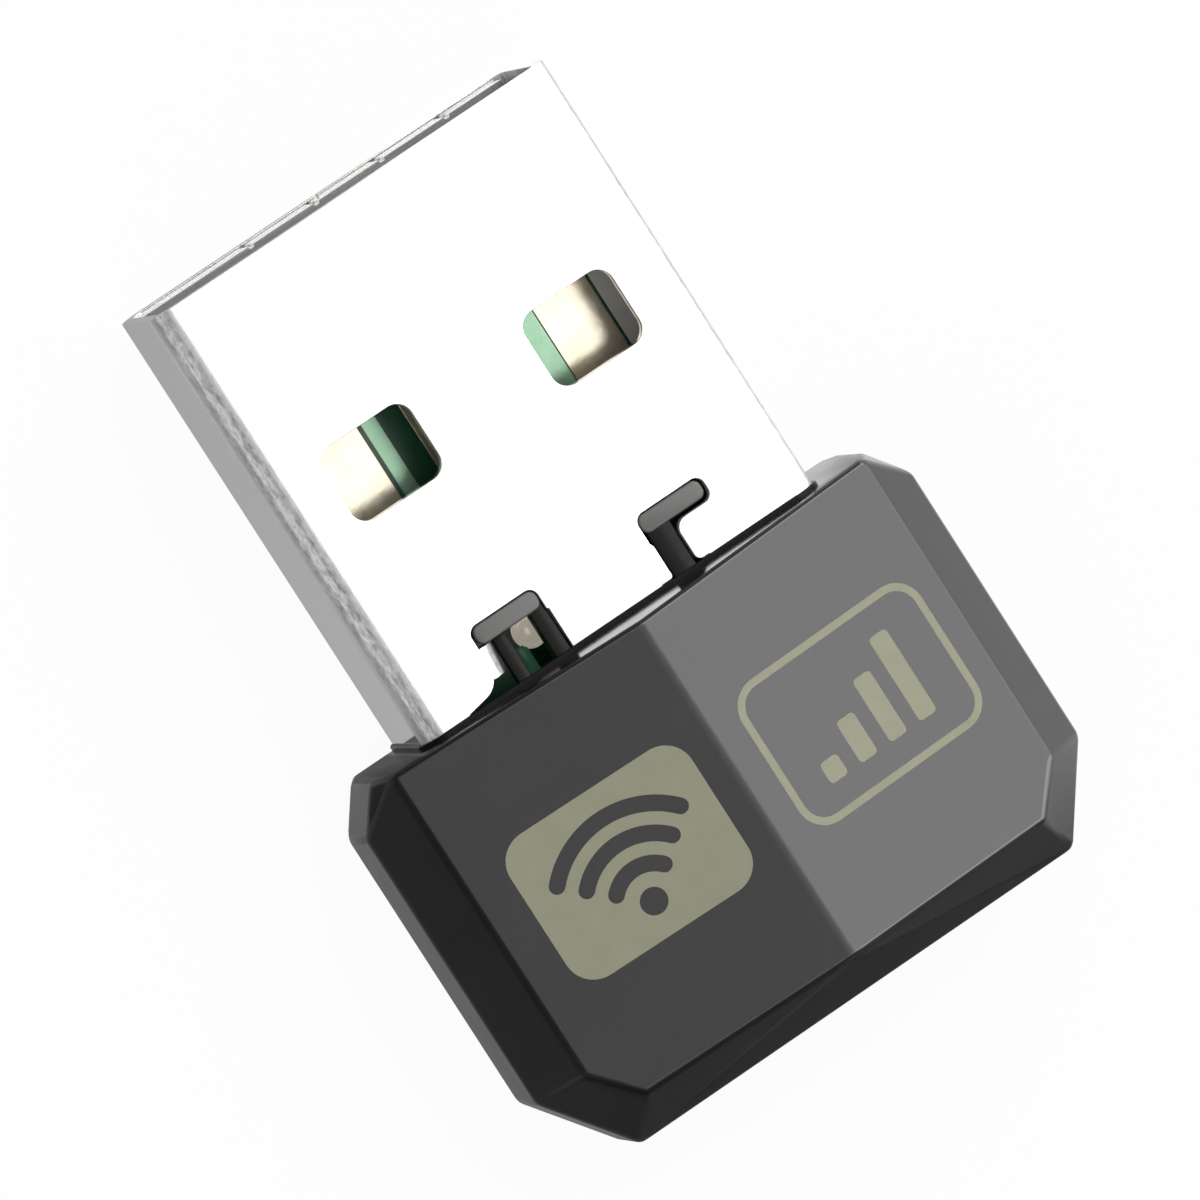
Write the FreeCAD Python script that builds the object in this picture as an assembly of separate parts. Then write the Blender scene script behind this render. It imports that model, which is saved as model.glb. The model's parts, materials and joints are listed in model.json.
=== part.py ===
import FreeCAD, Part
import os

V = FreeCAD.Vector

# All sizes are millimetres. X runs across the plug, Y towards its mouth, Z up.
# The origin is under the middle of the whole adapter, on the surface it lies on.

# Housing
SIDE_BULK = 2.4
FLOOR_UNDER_COLLAR = 0.35
EAVES_OVER_COLLAR = 0.2
ROOF_RISE = 1.0
BEVEL_RUN = 1.2
TOP_BEVEL_DROP = 1.25
BOTTOM_BEVEL_DROP = 1.7
FRONT_BOTTOM_RUN = 0.24
FRONT_BOTTOM_DROP = 0.9
REAR_CUT_X = 1.7
REAR_CUT_Y = 2.3
FRONT_CUT_X = 0.85
FRONT_CUT_Y = 1.15
FACE_CUT_X = 0.9
EDGE_ROUND = 0.14
REAR_WALL = 1.4

# Plug shell
PLUG_REACH = 12.8
SHELL_WIDTH = 12.0
SHELL_HEIGHT = 4.5
SHEET = 0.3
BEND_RADIUS = 0.65
SHELL_SEAT = 2.6
SEAM_GAP = 0.06
SEAM_KEY_WIDTH = 1.7
SEAM_KEY_NECK = 1.1
SEAM_KEY_DEPTH = 1.3
SEAM_KEY_FROM_MOUTH = 5.2
MOUTH_CHAMFER = 0.08

# Windows in the plug shell
WINDOW_CENTRE_X = 3.07
WINDOW_WIDTH = 2.66
WINDOW_LENGTH = 2.13
WINDOW_FROM_MOUTH = 5.05
WINDOW_ROUND = 0.45

# Hook slots in the upper sheet
SLOT_INNER_X = 1.55
SLOT_OUTER_X = 3.55
SLOT_NEAR = 1.33
SLOT_FAR = 2.0
SLOT_ROUND = 0.25
STEM_SLOT_INNER_X = 1.6
STEM_SLOT_OUTER_X = 2.35
STEM_SLOT_FILLET = 0.32
OPEN_SLOT_INNER_X = 1.5
OPEN_SLOT_FLARE = 0.7
OPEN_SLOT_FLARE_LENGTH = 0.2
LIP_RADIUS = 0.36
LIP_DROP = 0.15

# Retainer
COLLAR_WALL = 0.1
COLLAR_PROUD = 0.15
PLATE_THICKNESS = 1.0
HOOK_GAP = 0.03
HOOK_HEAD_LENGTH = 0.46
HOOK_OUTER_X = 3.4
HOOK_SINK = 0.03
HOOK_DEPTH = 0.5
STEM_SINK = 0.1
OPEN_STEM_WIDTH = 0.47
OPEN_LEG_WIDTH = 0.5
OPEN_LEG_OUTER_X = 3.08
LEG_SINK = 0.25

# Tongue support
TONGUE_SIDE_GAP = 0.2
TONGUE_RAIL = 0.2
TONGUE_RECESS = 0.1
TONGUE_FRONT_WALL = 0.5
TONGUE_FOOT_ROUND = 0.4
NOTCH_WIDTH = 0.26
NOTCH_DEPTH = 0.3
NOTCH_PITCH = 2.0
NOTCH_FIRST_X = -2.2
NOTCH_COUNT = 4

# Circuit board
CONTACT_PLANE = 2.25
PAD_THICKNESS = 0.04
BOARD_THICKNESS = 0.8
BOARD_TO_REAR_WALL = 0.2
BOARD_CORNER = 0.5

# Contact pads
POWER_PAD_EDGE = 1.0
POWER_PAD_WIDTH = 1.6
POWER_PAD_FRONT = 1.2
DATA_PAD_X = 1.0
DATA_PAD_WIDTH = 1.0
DATA_PAD_FRONT = 2.2
PAD_ROOT = 2.7
PAD_ROUND = 0.3

# Solder dome under the open hook slot
DOME_X = -1.76
DOME_AHEAD = 0.88
DOME_RADIUS = 0.4
DOME_HEIGHT = 0.26

# Antenna
ANTENNA_TRACE = 0.35
ANTENNA_PITCH = 1.3
ANTENNA_TURNS = 6
ANTENNA_REACH = 1.9
ANTENNA_EDGE = 0.3

# Parts on both sides of the rear board
CHIP_SIDE = 3.4
CHIP_HEIGHT = 0.8
CHIP_MARK_RADIUS = 0.3
CHIP_MARK_DEPTH = 0.12
CHIP_MARK_INSET = 0.6
CRYSTAL_LENGTH = 2.5
CRYSTAL_WIDTH = 2.0
CRYSTAL_HEIGHT = 0.55
LID_INSET = 0.12
LID_ROUND = 0.3
FLASH_LENGTH = 3.0
FLASH_WIDTH = 2.0
FLASH_HEIGHT = 0.6
REGULATOR_LENGTH = 2.9
REGULATOR_WIDTH = 1.6
REGULATOR_HEIGHT = 1.0
ESD_LENGTH = 2.0
ESD_WIDTH = 1.25
ESD_HEIGHT = 0.9
LEG_THICKNESS = 0.12
LEG_WIDTH = 0.3
LEG_REACH = 0.5
LEGS_PER_SIDE = 3
INDUCTOR_LENGTH = 2.0
INDUCTOR_WIDTH = 1.6
INDUCTOR_HEIGHT = 1.0
BEAD_LENGTH = 1.6
BEAD_WIDTH = 0.8
BEAD_HEIGHT = 0.8
SMALL_LENGTH = 1.0
SMALL_WIDTH = 0.5
SMALL_EDGE = 1.15
SMALL_STEPS = 3
CAPACITOR_HEIGHT = 0.5
RESISTOR_HEIGHT = 0.35
PART_GAP = 0.35
ROW_CLEARANCE = 0.25
UNDER_ROW = 2.65

# How near two places count as the same
SAME_PLACE = 0.01

# Places that follow from the sizes above
HALF_WIDTH = SHELL_WIDTH / 2 + SIDE_BULK
FACE_HALF = HALF_WIDTH - BEVEL_RUN
REAR_BOARD_LENGTH = ANTENNA_EDGE + ANTENNA_REACH + CHIP_SIDE + 2 * ROW_CLEARANCE
HOUSING_LENGTH = SHELL_SEAT + PLATE_THICKNESS + REAR_BOARD_LENGTH + BOARD_TO_REAR_WALL + REAR_WALL
FRONT_Y = (HOUSING_LENGTH - PLUG_REACH) / 2
REAR_Y = FRONT_Y - HOUSING_LENGTH
MOUTH_Y = FRONT_Y + PLUG_REACH
TRIM_REACH = 6 * HALF_WIDTH
SHELL_BOTTOM = FLOOR_UNDER_COLLAR + COLLAR_WALL
SHELL_TOP = SHELL_BOTTOM + SHELL_HEIGHT
EAVES_HEIGHT = SHELL_TOP + COLLAR_WALL + EAVES_OVER_COLLAR
RIDGE_HEIGHT = EAVES_HEIGHT + ROOF_RISE
TONGUE_WIDTH = SHELL_WIDTH - 2 * (SHEET + TONGUE_SIDE_GAP)
BOARD_PLUG_WIDTH = TONGUE_WIDTH - 2 * TONGUE_RAIL
BOARD_REAR_WIDTH = SHELL_WIDTH - 2 * SHEET
POWER_PAD_X = (BOARD_PLUG_WIDTH - POWER_PAD_WIDTH) / 2 - POWER_PAD_EDGE
SHELL_REAR_Y = FRONT_Y - SHELL_SEAT
SLOT_MIDDLE_Y = FRONT_Y + (SLOT_NEAR + SLOT_FAR) / 2
PLATE_REAR_Y = SHELL_REAR_Y - PLATE_THICKNESS
POCKET_REAR_Y = REAR_Y + REAR_WALL
BOARD_REAR_Y = POCKET_REAR_Y + BOARD_TO_REAR_WALL
PAD_TOP = SHELL_TOP - CONTACT_PLANE
BOARD_TOP = PAD_TOP - PAD_THICKNESS
BOARD_BOTTOM = BOARD_TOP - BOARD_THICKNESS
TONGUE_FRONT_Y = MOUTH_Y - TONGUE_RECESS
BOARD_FRONT_Y = TONGUE_FRONT_Y - TONGUE_FRONT_WALL
ANTENNA_FRONT_Y = BOARD_REAR_Y + ANTENNA_EDGE + ANTENNA_REACH
PART_ROW_Y = (PLATE_REAR_Y + ANTENNA_FRONT_Y) / 2
UNDER_ROW_Y = PLATE_REAR_Y - UNDER_ROW
SMALL_PITCH = ((BOARD_REAR_WIDTH - SMALL_LENGTH) / 2 - SMALL_EDGE) / SMALL_STEPS


def block(x0, x1, y0, y1, z0, z1):
    """Rectangular solid between two corners."""
    return Part.makeBox(x1 - x0, y1 - y0, z1 - z0, V(x0, y0, z0))


def upright_edges(shape):
    """Edges of a shape that run straight up."""
    return [e for e in shape.Edges if abs(e.tangentAt(e.FirstParameter).z) > 0.999]


def rounded_block(x0, x1, y0, y1, z0, z1, radius):
    """Rectangular solid whose upright edges are rounded."""
    solid = block(x0, x1, y0, y1, z0, z1)
    return solid.makeFillet(radius, upright_edges(solid))


def plug_prism(grow, y0, y1):
    """Solid bar with the plug's rounded section, grown all round."""
    half = SHELL_WIDTH / 2 + grow
    radius = BEND_RADIUS + grow
    bar = block(-half, half, y0, y1, SHELL_BOTTOM - grow, SHELL_TOP + grow)
    along = [e for e in bar.Edges if abs(e.tangentAt(e.FirstParameter).y) > 0.999]
    return bar.makeFillet(radius, along)


def mirrored(point):
    """The same point on the other side of the middle."""
    return V(-point.x, point.y, point.z)


def trimmed(body, a, b, c):
    """Body without what lies outside the plane through three points."""
    outwards = (b - a).cross(c - a)
    middle = V(0, (FRONT_Y + REAR_Y) / 2, (SHELL_BOTTOM + SHELL_TOP) / 2)
    if outwards.dot(middle - a) > 0:
        outwards = outwards.negative()
    half = TRIM_REACH / 2
    waste = Part.makeBox(TRIM_REACH, TRIM_REACH, TRIM_REACH, V(-half, -half, 0))
    waste.Placement = FreeCAD.Placement(a, FreeCAD.Rotation(V(0, 0, 1), outwards))
    return body.cut(waste)


def trimmed_both(body, a, b, c):
    """Body trimmed by a plane on the left and by its mirror image on the right."""
    body = trimmed(body, a, b, c)
    return trimmed(body, mirrored(a), mirrored(b), mirrored(c))


def girth_corners(z):
    """Left corners of the cap's widest outline at height z, from its nose to its tail."""
    nose = V(-HALF_WIDTH + FRONT_CUT_X, FRONT_Y, z)
    side_front = V(-HALF_WIDTH, FRONT_Y - FRONT_CUT_Y, z)
    side_rear = V(-HALF_WIDTH, REAR_Y + REAR_CUT_Y, z)
    tail = V(-HALF_WIDTH + REAR_CUT_X, REAR_Y, z)
    return nose, side_front, side_rear, tail


def face_corners(front_y, z, corner_z):
    """Left corners of the cap's upper or lower face: front, side of the rear cut, end of the rear cut."""
    rear_y = REAR_Y + BEVEL_RUN
    front = V(-FACE_HALF, front_y, z)
    side = V(-FACE_HALF, rear_y + FACE_CUT_X * REAR_CUT_Y / REAR_CUT_X, z)
    return front, side, V(-FACE_HALF + FACE_CUT_X, rear_y, corner_z)


def roofed(body):
    """Body with the two slopes of the upper face and the bevels that fall away from them."""
    nose, side_front, side_rear, tail = girth_corners(EAVES_HEIGHT - TOP_BEVEL_DROP)
    slope = ROOF_RISE / FACE_HALF
    front, side, end = face_corners(FRONT_Y, EAVES_HEIGHT, EAVES_HEIGHT + slope * FACE_CUT_X)
    ridge_front, ridge_rear = V(0, FRONT_Y, RIDGE_HEIGHT), V(0, end.y, RIDGE_HEIGHT)
    body = trimmed_both(body, ridge_front, ridge_rear, front)
    body = trimmed_both(body, front, side_front, side_rear)
    body = trimmed_both(body, front, side_front, nose)
    body = trimmed_both(body, side, side_rear, tail)
    body = trimmed(body, tail, mirrored(tail), ridge_rear)
    return trimmed_both(body, tail, end, ridge_rear)


def undercut(body):
    """Body with the bevels round the flat lower face."""
    nose, side_front, side_rear, tail = girth_corners(BOTTOM_BEVEL_DROP)
    front, side, end = face_corners(FRONT_Y - FRONT_BOTTOM_RUN, 0, 0)
    body = trimmed_both(body, front, side_front, side_rear)
    body = trimmed_both(body, front, side_front, nose)
    body = trimmed_both(body, side, side_rear, tail)
    body = trimmed(body, end, mirrored(end), tail)
    low_nose = V(nose.x, FRONT_Y, FRONT_BOTTOM_DROP)
    return trimmed(body, front, mirrored(front), low_nose)


def cap_body():
    """Solid faceted body of the cap, its edges lightly rounded."""
    body = block(-HALF_WIDTH, HALF_WIDTH, REAR_Y, FRONT_Y, 0, RIDGE_HEIGHT)
    nose, side_front, side_rear, tail = girth_corners(0)
    up = V(0, 0, RIDGE_HEIGHT)
    body = trimmed_both(body, nose, side_front, nose + up)
    body = trimmed_both(body, side_rear, tail, tail + up)
    body = undercut(roofed(body))
    return body.makeFillet(EDGE_ROUND, body.Edges)


def housing():
    """Black cap, open towards the plug."""
    pocket = plug_prism(COLLAR_WALL, POCKET_REAR_Y, FRONT_Y + BEVEL_RUN)
    return cap_body().cut(pocket)


def left_image(shape):
    """Mirror image, on the left, of a shape drawn on the right."""
    return shape.mirror(V(0, 0, 0), V(1, 0, 0))


def through_sheet(points):
    """Prism through the upper sheet over an outline of X and Y."""
    low = SHELL_TOP - BEND_RADIUS
    outline = Part.makePolygon([V(x, y, low) for x, y in points + points[:1]])
    return Part.Face(outline).extrude(V(0, 0, BEND_RADIUS + SHEET))


def slot_bar():
    """Opening that one hook's head lies in."""
    return rounded_block(SLOT_INNER_X, SLOT_OUTER_X, FRONT_Y + SLOT_NEAR, FRONT_Y + SLOT_FAR,
                         SHELL_TOP - BEND_RADIUS, SHELL_TOP + SHEET, SLOT_ROUND)


def stem_slot():
    """Right hook slot: its bar and a narrow stem, the corner between them rounded."""
    rear = SHELL_REAR_Y - SHEET
    stem = through_sheet([(STEM_SLOT_INNER_X, rear), (STEM_SLOT_OUTER_X, rear),
                          (STEM_SLOT_OUTER_X, SLOT_MIDDLE_Y), (STEM_SLOT_INNER_X, SLOT_MIDDLE_Y)])
    opening = slot_bar().fuse(stem).removeSplitter()
    corner = [e for e in upright_edges(opening)
              if abs(e.BoundBox.XMin - STEM_SLOT_OUTER_X) < SAME_PLACE
              and abs(e.BoundBox.YMin - FRONT_Y - SLOT_NEAR) < SAME_PLACE]
    return opening.makeFillet(STEM_SLOT_FILLET, corner)


def open_slot():
    """Left hook slot, drawn on the right: its bar and a wide stem that flares at the collar."""
    rear, collar = SHELL_REAR_Y - SHEET, FRONT_Y + COLLAR_PROUD
    stem = through_sheet([(OPEN_SLOT_INNER_X, rear), (SLOT_OUTER_X, rear),
                          (SLOT_OUTER_X, FRONT_Y), (SLOT_OUTER_X + OPEN_SLOT_FLARE, FRONT_Y),
                          (SLOT_OUTER_X + OPEN_SLOT_FLARE, collar),
                          (SLOT_OUTER_X, collar + OPEN_SLOT_FLARE_LENGTH),
                          (SLOT_OUTER_X, SLOT_MIDDLE_Y), (OPEN_SLOT_INNER_X, SLOT_MIDDLE_Y)])
    return slot_bar().fuse(stem).removeSplitter()


def pressed_lip():
    """Edge of the open slot that is pressed down into it, drawn on the right."""
    near, far = FRONT_Y + COLLAR_PROUD + OPEN_SLOT_FLARE_LENGTH, FRONT_Y + SLOT_NEAR
    x, z = SLOT_OUTER_X, SHELL_TOP - LIP_RADIUS
    sheet = block(x - LIP_RADIUS, x, near, far, z - LIP_DROP, SHELL_TOP)
    inner = LIP_RADIUS - SHEET
    bend = [e for e in sheet.Edges
            if e.BoundBox.ZMin > z and e.BoundBox.XMax < x and e.BoundBox.YLength > SHEET]
    sheet = sheet.makeFillet(LIP_RADIUS - inner, bend)
    hollow = block(x - inner, x, near, far, z - LIP_DROP, z)
    return sheet.cut(hollow.fuse(Part.makeCylinder(inner, far - near, V(x, near, z), V(0, 1, 0))))


def windows():
    """The four latch windows, two in each broad side."""
    front = MOUTH_Y - WINDOW_FROM_MOUTH
    half = WINDOW_WIDTH / 2
    for x in (-WINDOW_CENTRE_X, WINDOW_CENTRE_X):
        yield rounded_block(x - half, x + half, front - WINDOW_LENGTH, front,
                            SHELL_BOTTOM - SHEET, SHELL_TOP + SHEET, WINDOW_ROUND)


def seam():
    """Hair gap where the folded sheet meets under the plug, with one dovetail key."""
    key_y = MOUTH_Y - SEAM_KEY_FROM_MOUTH
    half_neck, half_key = SEAM_KEY_NECK / 2, SEAM_KEY_WIDTH / 2
    path = [(0, MOUTH_Y + SHEET), (0, key_y + half_neck), (SEAM_KEY_DEPTH, key_y + half_key),
            (SEAM_KEY_DEPTH, key_y - half_key), (0, key_y - half_neck), (0, SHELL_REAR_Y - SHEET)]
    low = SHELL_BOTTOM - SHEET
    line = Part.makePolygon([V(x, y, low) for x, y in path])
    strip = line.makeOffset2D(SEAM_GAP / 2, 2, False, True)
    return Part.Face(strip).extrude(V(0, 0, 3 * SHEET))


def usb_shell():
    """Folded steel sheet of the plug."""
    outside = plug_prism(0, SHELL_REAR_Y, MOUTH_Y)
    rim = [e for e in outside.Edges if e.BoundBox.YMin > MOUTH_Y - MOUTH_CHAMFER]
    tube = outside.makeChamfer(MOUTH_CHAMFER, rim)
    tube = tube.cut(plug_prism(-SHEET, SHELL_REAR_Y - SHEET, MOUTH_Y + SHEET))
    for opening in windows():
        tube = tube.cut(opening)
    tube = tube.cut([stem_slot(), left_image(open_slot()), seam()])
    return tube.fuse(left_image(pressed_lip())).removeSplitter()


def hook_arm(inner, outer, sink):
    """One arm of a hook, sunk below the sheet, and the root that carries it under the collar."""
    top = SHELL_TOP - sink
    arm = block(inner, outer, SHELL_REAR_Y, SLOT_MIDDLE_Y - HOOK_GAP, SHELL_TOP - HOOK_DEPTH, top)
    return arm.fuse(block(inner, outer, SHELL_REAR_Y, FRONT_Y, top, SHELL_TOP))


def hook_head():
    """Head of one hook, lying across the end of its slot."""
    top, far = SHELL_TOP - HOOK_SINK, FRONT_Y + SLOT_FAR - HOOK_GAP
    return rounded_block(SLOT_INNER_X + HOOK_GAP, HOOK_OUTER_X, far - HOOK_HEAD_LENGTH, far,
                         top - HOOK_DEPTH, top, SLOT_ROUND - HOOK_GAP)


def single_hook():
    """Right hook, on one arm."""
    inner, outer = STEM_SLOT_INNER_X + HOOK_GAP, STEM_SLOT_OUTER_X - HOOK_GAP
    return hook_head().fuse(hook_arm(inner, outer, STEM_SINK))


def double_hook():
    """Left hook, drawn on the right: two arms with the board in view between them."""
    inner = OPEN_SLOT_INNER_X + HOOK_GAP
    arm = hook_arm(inner, inner + OPEN_STEM_WIDTH, STEM_SINK)
    leg = hook_arm(OPEN_LEG_OUTER_X - OPEN_LEG_WIDTH, OPEN_LEG_OUTER_X, LEG_SINK)
    return hook_head().fuse([arm, leg])


def retainer():
    """Black inner frame: collar round the plug, end plate with the board slot, two hooks."""
    frame = plug_prism(COLLAR_WALL, PLATE_REAR_Y, FRONT_Y + COLLAR_PROUD)
    frame = frame.cut(plug_prism(0, SHELL_REAR_Y, FRONT_Y + PLUG_REACH))
    half = BOARD_PLUG_WIDTH / 2
    slot = block(-half, half, PLATE_REAR_Y, SHELL_REAR_Y, BOARD_BOTTOM, BOARD_TOP)
    frame = frame.cut(slot)
    return frame.fuse([single_hook(), left_image(double_hook())]).removeSplitter()


def tongue_support():
    """White tray that carries the board in the plug, notched along its front wall."""
    half, rail = TONGUE_WIDTH / 2, BOARD_PLUG_WIDTH / 2
    floor_z = SHELL_BOTTOM + SHEET
    tray = block(-half, half, SHELL_REAR_Y, TONGUE_FRONT_Y, floor_z, BOARD_TOP)
    feet = [e for e in tray.Edges if e.BoundBox.ZMax < BOARD_BOTTOM and e.BoundBox.YLength > TONGUE_WIDTH]
    tray = tray.makeFillet(TONGUE_FOOT_ROUND, feet)
    tray = tray.cut(block(-rail, rail, SHELL_REAR_Y, BOARD_FRONT_Y, BOARD_BOTTOM, BOARD_TOP))
    for i in range(NOTCH_COUNT):
        x = NOTCH_FIRST_X + i * NOTCH_PITCH - NOTCH_WIDTH / 2
        tray = tray.cut(block(x, x + NOTCH_WIDTH, TONGUE_FRONT_Y - NOTCH_DEPTH, TONGUE_FRONT_Y,
                              floor_z, BOARD_TOP))
    return tray


def circuit_board():
    """Green board: narrow in the plug, wide behind the end plate."""
    narrow, wide = BOARD_PLUG_WIDTH / 2, BOARD_REAR_WIDTH / 2
    tongue = block(-narrow, narrow, PLATE_REAR_Y, BOARD_FRONT_Y, BOARD_BOTTOM, BOARD_TOP)
    rear = block(-wide, wide, BOARD_REAR_Y, PLATE_REAR_Y, BOARD_BOTTOM, BOARD_TOP)
    corners = [e for e in upright_edges(rear) if e.BoundBox.YMax < PLATE_REAR_Y - BOARD_CORNER]
    return tongue.fuse(rear.makeFillet(BOARD_CORNER, corners)).removeSplitter()


def pad(x, width, front):
    """One gold contact pad on the board."""
    near, far = FRONT_Y + PAD_ROOT, MOUTH_Y - front
    return rounded_block(x - width / 2, x + width / 2, near, far, BOARD_TOP, PAD_TOP, PAD_ROUND)


def power_pad(side):
    """Long outer pad."""
    return pad(side * POWER_PAD_X, POWER_PAD_WIDTH, POWER_PAD_FRONT)


def data_pad(side):
    """Shorter inner pad."""
    return pad(side * DATA_PAD_X, DATA_PAD_WIDTH, DATA_PAD_FRONT)


def solder_joint():
    """Tinned dome on the board under the open slot: a cap of a ball."""
    ball = (DOME_RADIUS ** 2 + DOME_HEIGHT ** 2) / (2 * DOME_HEIGHT)
    centre = V(DOME_X, FRONT_Y + DOME_AHEAD, BOARD_TOP + DOME_HEIGHT - ball)
    above = block(DOME_X - ball, DOME_X + ball, centre.y - ball, centre.y + ball,
                  BOARD_TOP, BOARD_TOP + ball)
    return Part.makeSphere(ball, centre).common(above)


def antenna_trace():
    """Meander along the board's rear edge, with its feed."""
    rear, front = BOARD_REAR_Y + ANTENNA_EDGE, ANTENNA_FRONT_Y
    start = -ANTENNA_PITCH * ANTENNA_TURNS / 2
    half = ANTENNA_TRACE / 2
    runs = []
    for i in range(ANTENNA_TURNS + 1):
        x = start + i * ANTENNA_PITCH
        runs.append(block(x - half, x + half, rear, front, BOARD_TOP, PAD_TOP))
        if i < ANTENNA_TURNS:
            y = front - ANTENNA_TRACE if i % 2 else rear
            runs.append(block(x, x + ANTENNA_PITCH, y, y + ANTENNA_TRACE, BOARD_TOP, PAD_TOP))
    return runs[0].fuse(runs[1:]).removeSplitter()


def top_part(x, y, length_x, length_y, height):
    """Plain chip body standing on the board, centred on x and y."""
    return block(x - length_x / 2, x + length_x / 2, y - length_y / 2, y + length_y / 2,
                 BOARD_TOP, BOARD_TOP + height)


def under_part(x, y, length_x, length_y, height):
    """Plain chip body hanging under the board, centred on x and y."""
    return block(x - length_x / 2, x + length_x / 2, y - length_y / 2, y + length_y / 2,
                 BOARD_BOTTOM - height, BOARD_BOTTOM)


def legged_part(x, y, length, width, height):
    """Small transistor-like package under the board, with legs along both long sides."""
    foot = LEG_THICKNESS
    shape = under_part(x, y, length, width, height)
    shape = shape.cut(under_part(x, y, length, width, foot))
    pitch = length / LEGS_PER_SIDE
    for i in range(LEGS_PER_SIDE):
        leg_x = x - length / 2 + (i + 0.5) * pitch
        shape = shape.fuse(under_part(leg_x, y, LEG_WIDTH, width + 2 * LEG_REACH, foot))
    return shape.removeSplitter()


def radio_chip():
    """Square radio chip in the middle of the rear board."""
    chip = top_part(0, PART_ROW_Y, CHIP_SIDE, CHIP_SIDE, CHIP_HEIGHT)
    corner = CHIP_SIDE / 2 - CHIP_MARK_INSET
    floor = V(-corner, PART_ROW_Y + corner, BOARD_TOP + CHIP_HEIGHT - CHIP_MARK_DEPTH)
    return chip.cut(Part.makeCylinder(CHIP_MARK_RADIUS, CHIP_MARK_DEPTH, floor))


def crystal():
    """Clock crystal: ceramic base with a metal lid."""
    x = CHIP_SIDE / 2 + PART_GAP + CRYSTAL_WIDTH / 2
    base = top_part(x, PART_ROW_Y, CRYSTAL_WIDTH, CRYSTAL_LENGTH, CRYSTAL_HEIGHT / 2)
    half_x, half_y = CRYSTAL_WIDTH / 2 - LID_INSET, CRYSTAL_LENGTH / 2 - LID_INSET
    lid = rounded_block(x - half_x, x + half_x, PART_ROW_Y - half_y, PART_ROW_Y + half_y,
                        BOARD_TOP + CRYSTAL_HEIGHT / 2, BOARD_TOP + CRYSTAL_HEIGHT, LID_ROUND)
    return base.fuse(lid)


def flash_memory():
    """Memory chip beside the radio chip."""
    x = -(CHIP_SIDE / 2 + PART_GAP + FLASH_WIDTH / 2)
    return top_part(x, PART_ROW_Y, FLASH_WIDTH, FLASH_LENGTH, FLASH_HEIGHT)


def voltage_regulator():
    """Five-volt to three-volt regulator under the board."""
    return legged_part(-BOARD_REAR_WIDTH / 4, UNDER_ROW_Y, REGULATOR_LENGTH, REGULATOR_WIDTH,
                       REGULATOR_HEIGHT)


def power_inductor():
    """Coil of the radio's own supply, under the board."""
    return under_part(PART_GAP, UNDER_ROW_Y, INDUCTOR_WIDTH, INDUCTOR_LENGTH, INDUCTOR_HEIGHT)


def esd_protector():
    """Surge protector of the data lines, under the board."""
    return legged_part(BOARD_REAR_WIDTH / 4 + PART_GAP, UNDER_ROW_Y, ESD_LENGTH, ESD_WIDTH, ESD_HEIGHT)


def ferrite_bead():
    """Supply bead at the rear board's front corner, under the board."""
    y = PLATE_REAR_Y - PART_GAP - BEAD_WIDTH / 2
    return under_part(-2 * SMALL_PITCH, y, BEAD_LENGTH, BEAD_WIDTH, BEAD_HEIGHT)


def small_row(places, y, height):
    """Like chips under the board at y, one at each whole step of the row's pitch."""
    chips = [under_part(i * SMALL_PITCH, y, SMALL_LENGTH, SMALL_WIDTH, height) for i in places]
    return Part.makeCompound(chips)


def rear_row_y():
    """Middle of the row behind the inductor, clear of the regulator's legs."""
    reach = max(REGULATOR_WIDTH, ESD_WIDTH) / 2 + LEG_REACH
    return UNDER_ROW_Y - max(reach, INDUCTOR_LENGTH / 2) - PART_GAP - SMALL_WIDTH / 2


def capacitors():
    """Row of decoupling capacitors beside the supply bead."""
    y = PLATE_REAR_Y - PART_GAP - SMALL_WIDTH / 2
    return small_row(range(SMALL_STEPS + 1), y, CAPACITOR_HEIGHT)


def resistors():
    """Three resistors behind the inductor."""
    return small_row((-1, 0, 1), rear_row_y(), RESISTOR_HEIGHT)


def antenna_matching():
    """Two matching chips of the antenna's feed, at the right end of the rear row."""
    return small_row((SMALL_STEPS - 1, SMALL_STEPS), rear_row_y(), RESISTOR_HEIGHT)


SUB_PARTS = {
    "housing": housing,
    "retainer": retainer,
    "usb_shell": usb_shell,
    "tongue_support": tongue_support,
    "circuit_board": circuit_board,
    "contact_vbus": lambda: power_pad(1),
    "contact_data_minus": lambda: data_pad(1),
    "contact_data_plus": lambda: data_pad(-1),
    "contact_ground": lambda: power_pad(-1),
    "solder_joint": solder_joint,
    "antenna_trace": antenna_trace,
    "radio_chip": radio_chip,
    "crystal": crystal,
    "flash_memory": flash_memory,
    "voltage_regulator": voltage_regulator,
    "power_inductor": power_inductor,
    "esd_protector": esd_protector,
    "ferrite_bead": ferrite_bead,
    "capacitors": capacitors,
    "resistors": resistors,
    "antenna_matching": antenna_matching,
}


def main():
    """Write one STEP file for each sub-part."""
    os.makedirs("parts", exist_ok=True)
    for name, maker in SUB_PARTS.items():
        shape = maker()
        shape.exportStep("parts/" + name + ".step")
        print(name, "solids", len(shape.Solids), "volume", round(shape.Volume, 3), "valid", shape.isValid())


main()
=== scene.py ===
"""Looks of a small USB wireless adapter: its finishes, fine parts, studio light and camera.

All sizes in the classes are millimetres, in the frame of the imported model: X across the plug,
Y towards its mouth, Z up, the origin under the middle on the surface the adapter lies on.
"""

from __future__ import annotations

import json
import logging
import math
from dataclasses import dataclass, field
from enum import Enum
from typing import Iterable, Sequence

import bmesh
import bpy
from mathutils import Matrix, Vector

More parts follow.
